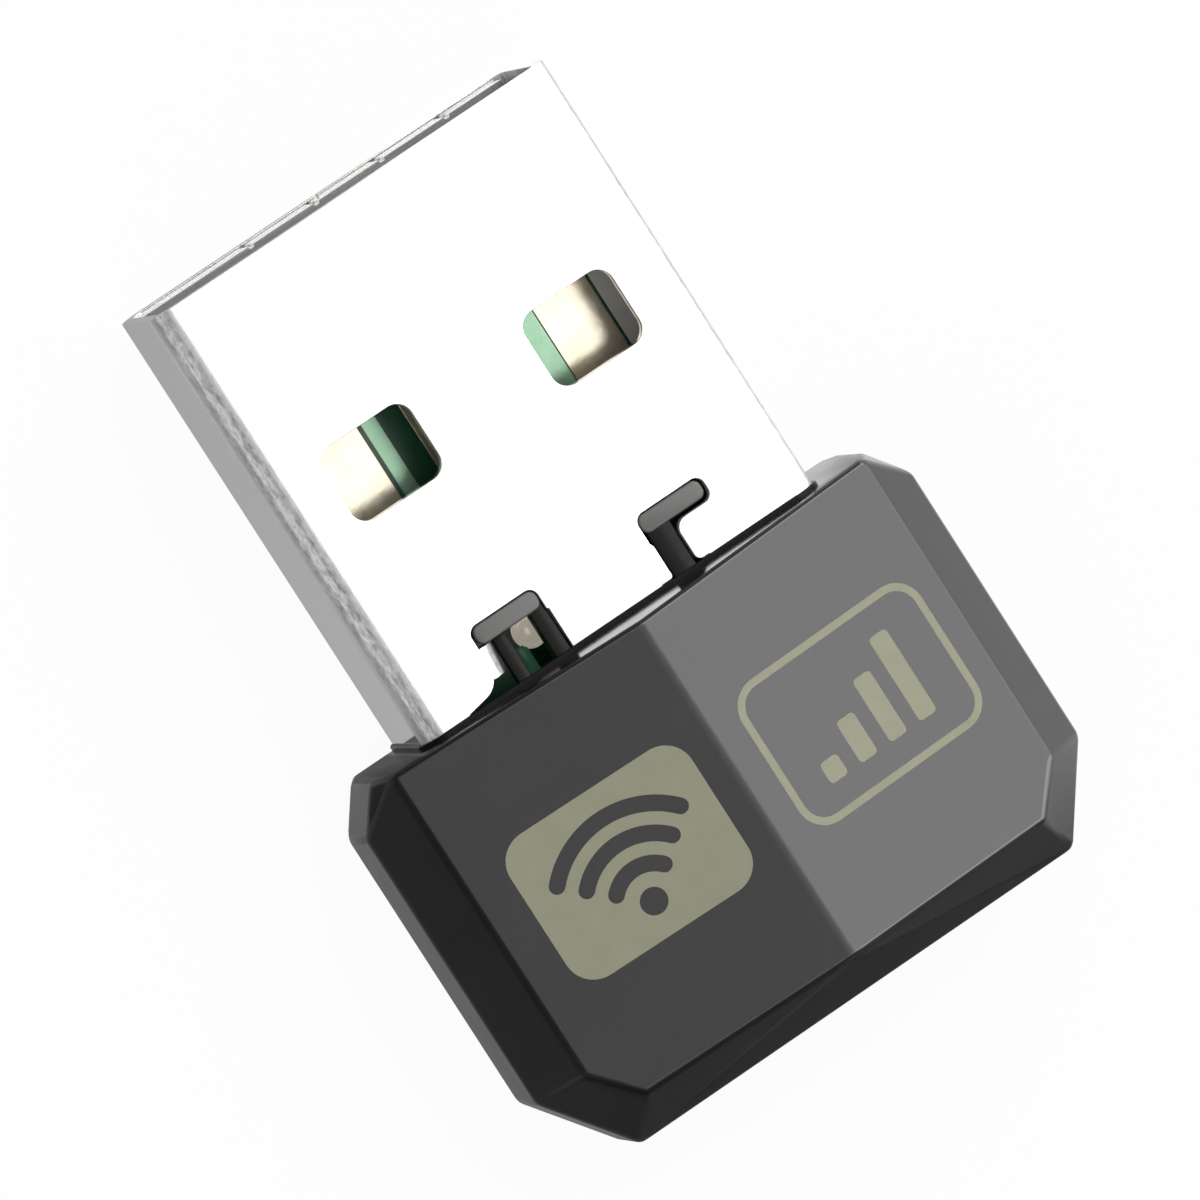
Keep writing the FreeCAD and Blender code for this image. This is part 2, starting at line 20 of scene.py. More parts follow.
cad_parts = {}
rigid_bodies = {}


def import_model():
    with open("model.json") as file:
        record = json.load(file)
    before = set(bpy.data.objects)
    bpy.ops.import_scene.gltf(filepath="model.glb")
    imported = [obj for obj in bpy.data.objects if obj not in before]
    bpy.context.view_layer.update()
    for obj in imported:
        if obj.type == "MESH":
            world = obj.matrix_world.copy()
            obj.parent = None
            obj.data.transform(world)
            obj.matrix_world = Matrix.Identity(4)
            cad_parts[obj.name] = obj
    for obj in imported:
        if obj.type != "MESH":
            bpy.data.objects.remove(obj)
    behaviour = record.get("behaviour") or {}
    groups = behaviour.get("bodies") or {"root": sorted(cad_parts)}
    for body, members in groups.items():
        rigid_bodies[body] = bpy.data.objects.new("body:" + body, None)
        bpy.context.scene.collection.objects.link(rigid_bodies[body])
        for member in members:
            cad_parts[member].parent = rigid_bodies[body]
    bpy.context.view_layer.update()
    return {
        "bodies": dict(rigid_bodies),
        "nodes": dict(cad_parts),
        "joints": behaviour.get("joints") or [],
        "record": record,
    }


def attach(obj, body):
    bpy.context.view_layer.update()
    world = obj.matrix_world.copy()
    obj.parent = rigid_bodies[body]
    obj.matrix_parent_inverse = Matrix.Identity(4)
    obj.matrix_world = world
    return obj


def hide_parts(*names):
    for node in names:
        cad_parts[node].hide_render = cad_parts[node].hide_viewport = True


LOG = logging.getLogger("adapter")
MM = 0.001
PAST = 1.0  # How far a cutter reaches past what it cuts, in millimetres.
FULL_TURN = 2 * math.pi

Point = tuple[float, float]
Point3 = tuple[float, float, float]
Box = tuple[float, float, float, float]
Stops = tuple[Point, ...]
Colour = tuple[float, float, float, float]
Socket = bpy.types.NodeSocket
WHITE: Colour = (1.0, 1.0, 1.0, 1.0)


class Side(Enum):
    """Left and right of the adapter, seen from above with the mouth away."""

    LEFT = -1.0
    RIGHT = 1.0


class Ray(Enum):
    """Kinds of light ray that the studio answers in different ways."""

    CAMERA = "Is Camera Ray"
    GLOSSY = "Is Glossy Ray"


class Axis(Enum):
    """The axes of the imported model."""

    X = "X"
    Y = "Y"
    Z = "Z"


class Normal(Enum):
    """The direction of a surface: its own, or the one that smooth shading gives it."""

    OWN = "True Normal"
    SMOOTH = "Normal"


class Maths(Enum):
    """Operations on one value or two."""

    ADD = "ADD"
    SUBTRACT = "SUBTRACT"
    MULTIPLY = "MULTIPLY"
    POWER = "POWER"
    ROOT = "SQRT"
    SIZE = "ABSOLUTE"
    ANGLE = "ARCTAN2"


class Light(Enum):
    """Nodes that give light, on a surface or all round."""

    SURFACE = "ShaderNodeEmission"
    SURROUNDINGS = "ShaderNodeBackground"


class Merge(Enum):
    """Ways to work one body into another."""

    CUT = "DIFFERENCE"
    JOIN = "UNION"


def tone(red: float, green: float, blue: float) -> Colour:
    """Linear colour of a tone measured on a screen.

    Args:
        red: Red from 0 to 255.
        green: Green from 0 to 255.
        blue: Blue from 0 to 255.

    Returns:
        The colour with full opacity.
    """
    linear = [
        v / 12.92 if v <= 0.04045 else ((v + 0.055) / 1.055) ** 2.4
        for v in (red / 255, green / 255, blue / 255)
    ]
    return (linear[0], linear[1], linear[2], 1.0)


class Tree:
    """A node tree, emptied, and short ways to add to it."""

    def __init__(self, tree: bpy.types.NodeTree) -> None:
        """Empty the tree.

        Args:
            tree: The node tree of a material or of the world.
        """
        self.nodes = tree.nodes
        self.links = tree.links
        self.nodes.clear()

    def place(self, stretch: Sequence[float] = (1.0, 1.0, 1.0)) -> Socket:
        """Position on the object in millimetres.

        Args:
            stretch: How many times each axis is squeezed, so that patterns run along the others.

        Returns:
            The position vector.
        """
        source = self.nodes.new("ShaderNodeTexCoord")
        mapping = self.nodes.new("ShaderNodeMapping")
        mapping.inputs["Scale"].default_value = [s / MM for s in stretch]
        self.links.new(source.outputs["Object"], mapping.inputs["Vector"])
        return mapping.outputs["Vector"]

    def noise(self, place: Socket, scale: float, detail: float = 3.0, rough: float = 0.55) -> Socket:
        """Soft noise between 0 and 1.

        Args:
            place: Where it is read.
            scale: Cells per millimetre.
            detail: Octaves.
            rough: How strong the fine octaves are.

        Returns:
            The noise value.
        """
        node = self.nodes.new("ShaderNodeTexNoise")
        node.inputs["Scale"].default_value = scale
        node.inputs["Detail"].default_value = detail
        node.inputs["Roughness"].default_value = rough
        self.links.new(place, node.inputs["Vector"])
        return node.outputs["Fac"]

    def voronoi(self, place: Socket, scale: float) -> Socket:
        """Distance to the nearest centre in a pattern of cells.

        Args:
            place: Where it is read.
            scale: Cells per millimetre.

        Returns:
            The distance.
        """
        node = self.nodes.new("ShaderNodeTexVoronoi")
        node.inputs["Scale"].default_value = scale
        self.links.new(place, node.inputs["Vector"])
        return node.outputs["Distance"]

    def spread(self, value: Socket, low: float, high: float, start: float = 0.0, end: float = 1.0) -> Socket:
        """Value mapped from one range to another, held at both ends.

        Args:
            value: What is mapped.
            low: The result at the start.
            high: The result at the end.
            start: The value at which the range starts.
            end: The value at which it ends.

        Returns:
            The mapped value.
        """
        node = self.nodes.new("ShaderNodeMapRange")
        for name, number in zip(("From Min", "From Max", "To Min", "To Max"), (start, end, low, high)):
            node.inputs[name].default_value = number
        self.links.new(value, node.inputs["Value"])
        return node.outputs["Result"]

    def sum(self, first: Socket, second: Socket) -> Socket:
        """Sum of two values."""
        return self.combine(Maths.ADD, first, second)

    def times(self, first: Socket, second: Socket | float) -> Socket:
        """Product of two values."""
        return self.combine(Maths.MULTIPLY, first, second)

    def combine(self, operation: Maths, first: Socket, second: Socket | float = 0.0) -> Socket:
        """Result of one operation.

        Args:
            operation: What is done.
            first: A value.
            second: A value or a number. It isn't read by an operation on one value.

        Returns:
            The result.
        """
        node = self.nodes.new("ShaderNodeMath")
        node.operation = operation.value
        self.links.new(first, node.inputs[0])
        if isinstance(second, (int, float)):
            node.inputs[1].default_value = second
        else:
            self.links.new(second, node.inputs[1])
        return node.outputs[0]

    def blend(self, share: Socket, first: Colour | Socket, second: Colour | Socket) -> Socket:
        """Colour between two colours.

        Args:
            share: 0 gives the first, 1 the second.
            first: A colour.
            second: A colour.

        Returns:
            The mixed colour.
        """
        node = self.nodes.new("ShaderNodeMix")
        node.data_type = "RGBA"
        self.links.new(share, node.inputs["Factor"])
        for name, colour in (("A", first), ("B", second)):
            socket = next(s for s in node.inputs if s.name == name and s.type == "RGBA")
            if isinstance(colour, tuple):
                socket.default_value = colour
            else:
                self.links.new(colour, socket)
        return next(s for s in node.outputs if s.type == "RGBA")

    def edges(self, start: float, end: float) -> Socket:
        """How much a point lies on an outer edge, 0 on flats and 1 on sharp edges."""
        node = self.nodes.new("ShaderNodeNewGeometry")
        return self.spread(node.outputs["Pointiness"], 0.0, 1.0, start, end)

    def ramp(self, value: Socket, stops: Sequence[tuple[float, float]], top: float = 1.0) -> Socket:
        """Grey that follows a value through stops.

        Args:
            value: What it follows.
            stops: Value and grey of each stop.
            top: The grey that counts as full.

        Returns:
            The colour, as a share of the full grey.
        """
        low, high = stops[0][0], stops[-1][0]
        node = self.nodes.new("ShaderNodeValToRGB")
        elements = node.color_ramp.elements
        while len(elements) > 1:
            elements.remove(elements[-1])
        for index, (at, grey) in enumerate(stops):
            position = (at - low) / (high - low)
            element = elements[0] if index == 0 else elements.new(position)
            element.position = position
            element.color = (grey / top,) * 3 + (1.0,)
        self.links.new(self.spread(value, 0.0, 1.0, low, high), node.inputs[0])
        return node.outputs[0]

    def axis(self, vector: Socket, name: Axis) -> Socket:
        """One part of a vector.

        Args:
            vector: The vector.
            name: The part's axis.

        Returns:
            The part's value.
        """
        node = self.nodes.new("ShaderNodeSeparateXYZ")
        self.links.new(vector, node.inputs[0])
        return node.outputs[name.value]

    def facing(self, name: Axis, source: Normal = Normal.OWN) -> Socket:
        """How far the surface faces along an axis, from -1 to 1."""
        node = self.nodes.new("ShaderNodeNewGeometry")
        return self.axis(node.outputs[source.value], name)

    def relief(
        self, height: Socket, depth: float, strength: float = 1.0, under: Socket | None = None
    ) -> Socket:
        """Bumped normal.

        Args:
            height: Height from 0 to 1.
            depth: Millimetres between 0 and 1.
            strength: Share of it that shows.
            under: A bumped normal that this one is laid over.

        Returns:
            The normal.
        """
        node = self.nodes.new("ShaderNodeBump")
        node.inputs["Distance"].default_value = depth * MM
        node.inputs["Strength"].default_value = strength
        self.links.new(height, node.inputs["Height"])
        if under is not None:
            self.links.new(under, node.inputs["Normal"])
        return node.outputs["Normal"]

    def ray(self, kind: Ray) -> Socket:
        """1 where that kind of light ray asks, else 0."""
        return self.nodes.new("ShaderNodeLightPath").outputs[kind.value]

    def light(self, kind: Light, strength: Socket | float = 1.0) -> Socket:
        """Plain white light.

        Args:
            kind: Where it comes from.
            strength: How strong it is.

        Returns:
            The light's shader.
        """
        node = self.nodes.new(kind.value)
        node.inputs["Color"].default_value = WHITE
        if isinstance(strength, float):
            node.inputs["Strength"].default_value = strength
        else:
            self.links.new(strength, node.inputs["Strength"])
        return node.outputs[0]

    def mixed(self, share: Socket | float, first: Socket, second: Socket) -> Socket:
        """Shader between two shaders.

        Args:
            share: 0 gives the first, 1 the second.
            first: A shader.
            second: A shader.

        Returns:
            The mixed shader.
        """
        node = self.nodes.new("ShaderNodeMixShader")
        if isinstance(share, float):
            node.inputs[0].default_value = share
        else:
            self.links.new(share, node.inputs[0])
        self.links.new(first, node.inputs[1])
        self.links.new(second, node.inputs[2])
        return node.outputs[0]


class Shader(Tree):
    """A material's node tree with one principled shader."""

    def __init__(self, name: str) -> None:
        """Start an empty material.

        Args:
            name: The finish's name.
        """
        self.material = bpy.data.materials.new(name)
        self.material.use_nodes = True
        super().__init__(self.material.node_tree)
        self.output = self.nodes.new("ShaderNodeOutputMaterial")
        self.surface = self.nodes.new("ShaderNodeBsdfPrincipled")
        self.links.new(self.surface.outputs["BSDF"], self.output.inputs["Surface"])

    def set(self, **values: float | Colour) -> None:
        """Set sockets of the principled shader.

        Args:
            values: The value of each socket, named in small letters with underscores.
        """
        for words, value in values.items():
            name = words.replace("_", " ").title().replace("Ior", "IOR")
            self.surface.inputs[name].default_value = value

    def feed(self, words: str, value: Socket) -> None:
        """Link a value into the named socket of the principled shader."""
        self.links.new(value, self.surface.inputs[words])


@dataclass(frozen=True)
class MouldedPlastic:
    """Injection-moulded plastic: fine grain, faint flow clouds and edges rubbed a little lighter.

    Faces that look up can take a darker colour, which is painted shade, and the left front face can
    reflect less than the rest, which is painted shade too. Turns are how far a face looks that way, at
    the start and the end of the change.
    """

    name: str
    colour: Colour
    worn: Colour
    roughness: float = 0.3
    roughness_spread: float = 0.08
    specular: float = 0.5
    grain: float = 9.0
    grain_depth: float = 0.004
    wear: float = 0.35
    # Painted shade: a darker colour for faces that look up.
    top_painted_shade: Colour | None = None
    top_painted_shade_turn: Point = (0.3, 0.6)
    # Painted shade: specular level of the left front face, lower than on the rest.
    cheek_painted_shade_specular: float | None = None
    cheek_turn: Point = (0.75, 0.95)
    cheek_x: Point = (-6.3, -5.9)

    def material(self) -> bpy.types.Material:
        """Build the material.

        Returns:
            The material.
        """
        sh = Shader(self.name)
        place = sh.place()
        clouds = sh.noise(place, 0.35, 4.0)
        grain = sh.noise(place, self.grain, 2.0)
        specks = sh.voronoi(place, self.grain * 0.45)
        flow = sh.blend(sh.spread(clouds, 0.0, 0.3, 0.3, 0.7), self.colour, self.worn)
        colour = sh.blend(sh.times(sh.edges(0.52, 0.62), self.wear), flow, self.worn)
        # Painted shade: faces that look up take the darker colour.
        if self.top_painted_shade is not None:
            colour = sh.blend(sh.spread(sh.facing(Axis.Z), 0.0, 1.0, *self.top_painted_shade_turn), colour, self.top_painted_shade)
        sh.feed("Base Color", colour)
        low, high = self.roughness - self.roughness_spread, self.roughness + self.roughness_spread
        sh.feed("Roughness", sh.spread(sh.noise(place, 1.1, 5.0), low, high, 0.25, 0.75))
        sh.feed("Normal", sh.relief(sh.sum(grain, specks), self.grain_depth, 0.5))
        sh.set(specular_ior_level=self.specular, ior=1.5)
        # Painted shade: the left front face reflects less than the rest of the plastic.
        if self.cheek_painted_shade_specular is not None:
            ahead = sh.spread(sh.facing(Axis.Y), 0.0, 1.0, *self.cheek_turn)
            cheek = sh.times(ahead, sh.spread(sh.axis(place, Axis.X), 1.0, 0.0, *self.cheek_x))
            sh.feed("Specular IOR Level", sh.spread(cheek, self.specular, self.cheek_painted_shade_specular))
        return sh.material


@dataclass(frozen=True)
class SteelMasks:
    """Where the sheet is bent, where it is cut, the rims of its openings, which carry painted shade, and
    where shade is painted on the left bend and along the right edge.
    """

    bend: Socket
    walls: Socket
    rims: Socket
    steel_painted_shade: Socket


@dataclass(frozen=True)
class RolledSteel:
    """Bright plated sheet steel: rolling lines along the plug, hair scratches and a few smudges.

    A turn is how far a face looks up or down, from 0 to 1, at the start and the end of a change. The
    greys by turn paint reflection bands, and the speckled stops lay a mottle over them; together they give
    the grey that is painted as shade and reflection on the left bend and along the right edge.
    """

    name: str
    colour: Colour
    roughness: float = 0.1
    smudge_roughness: float = 0.09
    line_depth: float = 0.0012
    bend_roughness: float = 0.38
    bend_turns: tuple[Point, Point] = ((0.04, 0.2), (0.95, 0.995))
    mottle_depth: float = 0.016
    cut: Colour = (0.35, 0.35, 0.34, 1.0)
    cut_turn: Point = (0.1, 0.3)
    cut_roughness: float = 0.3
    cut_y: Point = (1.3, 1.4)
    # Painted shade: near-black on the rounded rims of the openings.
    rim_painted_shade: Colour = (0.035, 0.035, 0.034, 1.0)
    rim_turns: tuple[Point, Point] = ((0.1, 0.2), (0.6, 0.96))
    rim_y: Point = (11.0, 11.5)
    inside_x: Point = (5.2, 5.3)
    left_x: Point = (-0.5, 0.5)
    # Painted shade: share of grey on the left bend, and on the right outer edge.
    left_bend_shade: float = 0.7
    right_edge_shade: float = 0.8
    right_edge_shade_turn: Point = (0.5, 0.75)
    least_metallic: float = 0.15
    scuffed: float = 0.82
    speckle: float = 0.7
    # Painted reflection bands: grey of the shaded bends by their turn.
    bend_reflection_greys: Stops = (
        (0.0, 0.55), (0.2, 0.7), (0.45, 0.4), (0.6, 0.38), (0.74, 0.86), (0.84, 0.56), (0.91, 0.3),
        (0.96, 0.45), (1.0, 0.9),
    )
    speckled: Stops = ((0.0, 0.05), (0.4, 0.2), (0.65, 0.8), (0.85, 1.0), (0.93, 0.6), (1.0, 0.0))

    def _masks(self, sh: Shader, upright: Socket) -> SteelMasks:
        """Find the bends, the cut walls, the rims, and where shade is painted: on the left bend and along the
        right edge.

        Args:
            sh: The material's shader.
            upright: How far the surface looks up or down, from 0 to 1.

        Returns:
            The masks.
        """
        place = sh.place()
        x, y = sh.axis(place, Axis.X), sh.axis(place, Axis.Y)
        starts, stops = self.bend_turns
        bend = sh.times(sh.spread(upright, 0.0, 1.0, *starts), sh.spread(upright, 1.0, 0.0, *stops))
        inward = sh.spread(sh.combine(Maths.SIZE, x), 1.0, 0.0, *self.inside_x)
        slots = sh.times(inward, sh.spread(y, 1.0, 0.0, *self.cut_y))
        walls = sh.times(slots, sh.spread(upright, 1.0, 0.0, *self.cut_turn))
        # Painted shade on the rounded rims of the openings.
        starts, stops = self.rim_turns
        rims = sh.times(sh.spread(upright, 1.0, 0.0, *stops), sh.spread(upright, 0.0, 1.0, *starts))
        rims = sh.times(sh.times(rims, inward), sh.spread(y, 1.0, 0.0, *self.rim_y))
        # Painted shade: only the left bend is dulled, and a grey line is painted along the right outer edge.
        left = sh.spread(x, 1.0, 0.0, *self.left_x)
        outer = sh.combine(Maths.SUBTRACT, sh.spread(left, 1.0, 0.0), inward)
        left_bend_shade = sh.times(sh.times(bend, left), self.left_bend_shade)
        right_edge_shade = sh.times(sh.times(outer, sh.spread(upright, 1.0, 0.0, *self.right_edge_shade_turn)), self.right_edge_shade)
        return SteelMasks(bend, walls, rims, sh.sum(left_bend_shade, right_edge_shade))

    def material(self) -> bpy.types.Material:
        """Build the material.

        Returns:
            The material.
        """
        sh = Shader(self.name)
        lines = sh.noise(sh.place((14.0, 0.25, 14.0)), 1.0, 4.0, 0.7)
        scratches = sh.noise(sh.place((1.2, 9.0, 1.2)), 0.9, 6.0, 0.8)
        smudges = sh.noise(sh.place(), 0.5, 5.0, 0.6)
        mottle = sh.noise(sh.place((1.6, 0.5, 1.6)), 6.0, 3.0, 0.7)
        upright = sh.combine(Maths.SIZE, sh.facing(Axis.Z, Normal.SMOOTH))
        masks = self._masks(sh, upright)
        rough = sh.sum(
            sh.spread(lines, self.roughness * 0.7, self.roughness * 1.3, 0.3, 0.7),
            sh.spread(smudges, 0.0, self.smudge_roughness, 0.5, 0.8),
        )
        rough = sh.sum(rough, sh.times(masks.bend, self.bend_roughness))
        sh.feed("Roughness", sh.sum(rough, sh.times(masks.walls, self.cut_roughness)))
        bare = sh.sum(sh.sum(masks.walls, masks.rims), masks.steel_painted_shade)
        sh.feed("Metallic", sh.spread(bare, 1.0, self.least_metallic))
        scuffed = tuple(c * self.scuffed for c in self.colour[:3]) + (1.0,)
        sheet = sh.blend(sh.spread(scratches, 0.0, 0.5, 0.55, 0.8), self.colour, scuffed)
        # Painted shade and reflection: greys by turn with a mottle, laid where shade is painted.
        speckle = sh.times(sh.spread(mottle, -0.5, 0.5, 0.36, 0.64), sh.ramp(upright, self.speckled))
        painted_bend_grey = sh.sum(sh.ramp(upright, self.bend_reflection_greys), sh.times(speckle, self.speckle))
        # The rims of the openings take their painted shade here.
        sheet = sh.blend(masks.rims, sh.blend(masks.steel_painted_shade, sheet, painted_bend_grey), self.rim_painted_shade)
        sh.feed("Base Color", sh.blend(masks.walls, sheet, self.cut))
        fine = sh.relief(lines, self.line_depth, 0.35)
        pressed = sh.relief(sh.times(mottle, masks.bend), self.mottle_depth, 0.8, fine)
        sh.feed("Normal", sh.relief(scratches, self.line_depth, 0.2, pressed))
        return sh.material


@dataclass(frozen=True)
class SolderMask:
    """Green lacquer over glass laminate: faint weave on the faces, straw-coloured cut edges."""

    name: str
    lacquer: Colour
    shade: Colour
    cut_edge: Colour
    roughness: float = 0.28

    def material(self) -> bpy.types.Material:
        """Build the material.

        Returns:
            The material.
        """
        sh = Shader(self.name)
        place = sh.place()
        across = sh.noise(sh.place((7.0, 0.6, 1.0)), 1.0, 1.0)
        along = sh.noise(sh.place((0.6, 7.0, 1.0)), 1.0, 1.0)
        weave = sh.times(across, along)
        green = sh.blend(sh.spread(sh.noise(place, 0.8, 4.0), 0.0, 1.0, 0.3, 0.7), self.lacquer, self.shade)
        flat = sh.spread(sh.combine(Maths.SIZE, sh.facing(Axis.Z)), 0.0, 1.0, 0.4, 0.6)
        sh.feed("Base Color", sh.blend(flat, self.cut_edge, green))
        sh.feed("Roughness", sh.spread(sh.noise(place, 2.0), self.roughness - 0.07, self.roughness + 0.1))
        sh.feed("Normal", sh.relief(weave, 0.01, 0.5))
        sh.set(specular_ior_level=0.5, coat_weight=0.3, coat_roughness=0.1)
        return sh.material


@dataclass(frozen=True)
class PlatedMetal:
    """Plated or tinned metal with a fine orange-peel surface, and where a lift is given, a glow in its own
    colour that is painted light.
    """

    name: str
    colour: Colour
    deep: Colour
    roughness: float = 0.25
    metallic: float = 1.0
    peel: float = 5.0
    peel_depth: float = 0.003
    # Painted light: glow strength in the metal's own colour, though it is no lamp.
    lift: float = 0.0

    def material(self) -> bpy.types.Material:
        """Build the material.

        Returns:
            The material.
        """
        sh = Shader(self.name)
        place = sh.place()
        patches = sh.noise(place, 1.3, 5.0)
        sh.feed("Base Color", sh.blend(sh.spread(patches, 0.0, 1.0, 0.35, 0.75), self.colour, self.deep))
        sh.feed("Roughness", sh.spread(sh.noise(place, 3.0), self.roughness - 0.08, self.roughness + 0.1))
        sh.feed("Normal", sh.relief(sh.noise(place, self.peel, 2.0), self.peel_depth, 0.5))
        sh.set(metallic=self.metallic)
        # Painted light: the part glows in its own colour.
        if self.lift:
            sh.set(emission_color=self.colour, emission_strength=self.lift)
        return sh.material


@dataclass(frozen=True)
class ChipResin:
    """Black filled resin of a chip, with glassy specks in it."""

    name: str
    colour: Colour
    speck: Colour
    roughness: float = 0.55

    def material(self) -> bpy.types.Material:
        """Build the material.

        Returns:
            The material.
        """
        sh = Shader(self.name)
        place = sh.place()
        specks = sh.spread(sh.voronoi(place, 14.0), 1.0, 0.0, 0.05, 0.2)
        sh.feed("Base Color", sh.blend(specks, self.colour, self.speck))
        sh.feed("Roughness", sh.spread(sh.noise(place, 6.0), self.roughness - 0.1, self.roughness + 0.1))
        sh.feed("Normal", sh.relief(sh.noise(place, 18.0, 3.0), 0.006, 0.6))
        sh.set(specular_ior_level=0.4)
        return sh.material


@dataclass(frozen=True)
class PadInk:
    """Khaki ink pressed on with a soft pad: a little uneven, matt, thin at its rim."""

    name: str
    colour: Colour
    thin: Colour
    roughness: float = 0.42

    def material(self) -> bpy.types.Material:
        """Build the material.

        Returns:
            The material.
        """
        sh = Shader(self.name)
        place = sh.place()
        cover = sh.noise(place, 1.6, 5.0)
        pinholes = sh.spread(sh.voronoi(place, 5.0), 1.0, 0.0, 0.02, 0.09)
        even = sh.blend(sh.spread(cover, 0.0, 0.35, 0.35, 0.75), self.colour, self.thin)
        sh.feed("Base Color", sh.blend(sh.times(pinholes, 0.3), even, self.thin))
        sh.feed("Roughness", sh.spread(cover, self.roughness - 0.05, self.roughness + 0.08))
        sh.feed("Normal", sh.relief(sh.noise(place, 11.0, 2.0), 0.003, 0.5))
        sh.set(specular_ior_level=0.35)
        return sh.material


class Finish(Enum):
    """Every finish of the adapter."""

    CAP = MouldedPlastic(
        "cap_satin_black", (0.009, 0.009, 0.0095, 1.0), (0.02, 0.02, 0.021, 1.0), 0.2, 0.03, 0.5, 9.0, 0.0015,
        # Painted shade: the left front face of the cap reflects less.
        cheek_painted_shade_specular=0.01,
    )
    FRAME = MouldedPlastic(
        "retainer_black", (0.005, 0.005, 0.0045, 1.0), (0.012, 0.012, 0.011, 1.0), 0.25, 0.04, 0.09
    )
    # Painted light: the hook heads are black frame plastic, and this grey stands for their lit tops.
    HOOK = MouldedPlastic("hook_painted_lit_grey", tone(88, 89, 87), tone(110, 110, 108), 0.45, 0.05, 0.4)
    TRAY = MouldedPlastic(
        "tray_white", tone(232, 232, 227), tone(240, 240, 236), 0.38, 0.05, 0.5, 6.0, 0.003, 0.2,
        # Painted shade on the tray's upper faces, which lie in the plug sheet's shadow.
        top_painted_shade=tone(112, 110, 112),
    )
    STEEL = RolledSteel("plug_bright_steel", (0.80, 0.80, 0.79, 1.0))
    MASK = SolderMask("board_green", tone(14, 74, 44), tone(10, 56, 34), tone(110, 112, 72))
    # Painted light: the copper under the lacquer glows a little.
    POUR = PlatedMetal(
        "copper_under_lacquer_painted_glow", (0.26, 0.42, 0.29, 1.0), (0.22, 0.37, 0.25, 1.0), 0.2, 0.85, 5.0, 0.002, 0.06
    )
    # Painted light: a lighter, glowing green patch standing for light on the board in the left slot.
    LAND = PlatedMetal("lacquered_land_painted_light", tone(60, 108, 82), tone(50, 92, 68), 0.3, 0.1, lift=0.24)
    GOLD = PlatedMetal("contact_gold", tone(242, 232, 212), tone(234, 220, 190), 0.16, 0.85)
    # Painted light: the solder glows a little, to stay bright in the slot's shade.
    SOLDER = PlatedMetal("solder_bright_painted_glow", tone(236, 224, 208), tone(206, 196, 180), 0.25, 0.5, lift=0.34)
    TIN = PlatedMetal("tinned_ends", tone(206, 206, 202), tone(172, 172, 168), 0.32)
    RESIN = ChipResin("chip_resin", tone(30, 30, 32), tone(70, 70, 72))
    CERAMIC = MouldedPlastic(
        "capacitor_ceramic", tone(146, 112, 78), tone(170, 138, 100), 0.5, 0.06, 0.4, 12.0, 0.004, 0.3
    )
    FERRITE = MouldedPlastic(
        "ferrite_grey", tone(58, 56, 56), tone(86, 84, 82), 0.55, 0.06, 0.35, 12.0, 0.006, 0.4
    )
    LEGEND = PadInk("board_legend_white", tone(196, 194, 190), tone(170, 168, 164), 0.5)
    INK = PadInk("print_khaki", (0.262, 0.262, 0.186, 1.0), (0.2, 0.2, 0.145, 1.0))


@dataclass
class Palette:
    """The finishes' materials, each made once."""

    made: dict[Finish, bpy.types.Material] = field(default_factory=dict)

    def of(self, finish: Finish) -> bpy.types.Material:
        """Material of a finish.

        Args:
            finish: The finish.

        Returns:
            The material, made at its first use.
        """
        if finish not in self.made:
            self.made[finish] = finish.value.material()
        return self.made[finish]


def mirrored_point(point: Vector) -> Vector:
    """The same point on the other side of the middle."""
    return Vector((-point.x, point.y, point.z))


def on_circle(centre: Point, radius: float, angle: float) -> Point:
    """Point on a circle, its angle in radians."""
    return (centre[0] + radius * math.cos(angle), centre[1] + radius * math.sin(angle))


def rounded_rectangle(
    x0: float, x1: float, y0: float, y1: float, radius: float, steps: int = 6
) -> list[Point]:
    """Outline of a rectangle with round corners.

    Args:
        x0: Low first coordinate.
        x1: High first coordinate.
        y0: Low second coordinate.
        y1: High second coordinate.
        radius: Corner radius.
        steps: Straight runs in each corner.

    Returns:
        The points, anticlockwise.
    """
    points: list[Point] = []
    centres = (
        (x1 - radius, y1 - radius), (x0 + radius, y1 - radius),
        (x0 + radius, y0 + radius), (x1 - radius, y0 + radius),
    )
    for quarter, centre in enumerate(centres):
        for step in range(steps + 1):
            points.append(on_circle(centre, radius, math.pi / 2 * (quarter + step / steps)))
    return points


def ribbon(path: Sequence[Point], width: float) -> list[Point]:
    """Outline of a strip of even width along a path.

    Args:
        path: The middle line.
        width: The strip's width.

    Returns:
        The outline's points, up one side and down the other.
    """
    left: list[Point] = []
    right: list[Point] = []
    spots = [Vector(p) for p in path]
    for i, spot in enumerate(spots):
        before = (spot - spots[i - 1]).normalized() if i else None
        after = (spots[i + 1] - spot).normalized() if i + 1 < len(spots) else None
        ahead = ((before or after) + (after or before)).normalized()
        side = Vector((-ahead.y, ahead.x))
        reach = width / 2 / max(0.3, side.dot(Vector((-(after or before).y, (after or before).x))))
        left.append(tuple(spot + side * reach))
        right.append(tuple(spot - side * reach))
    return left + right[::-1]


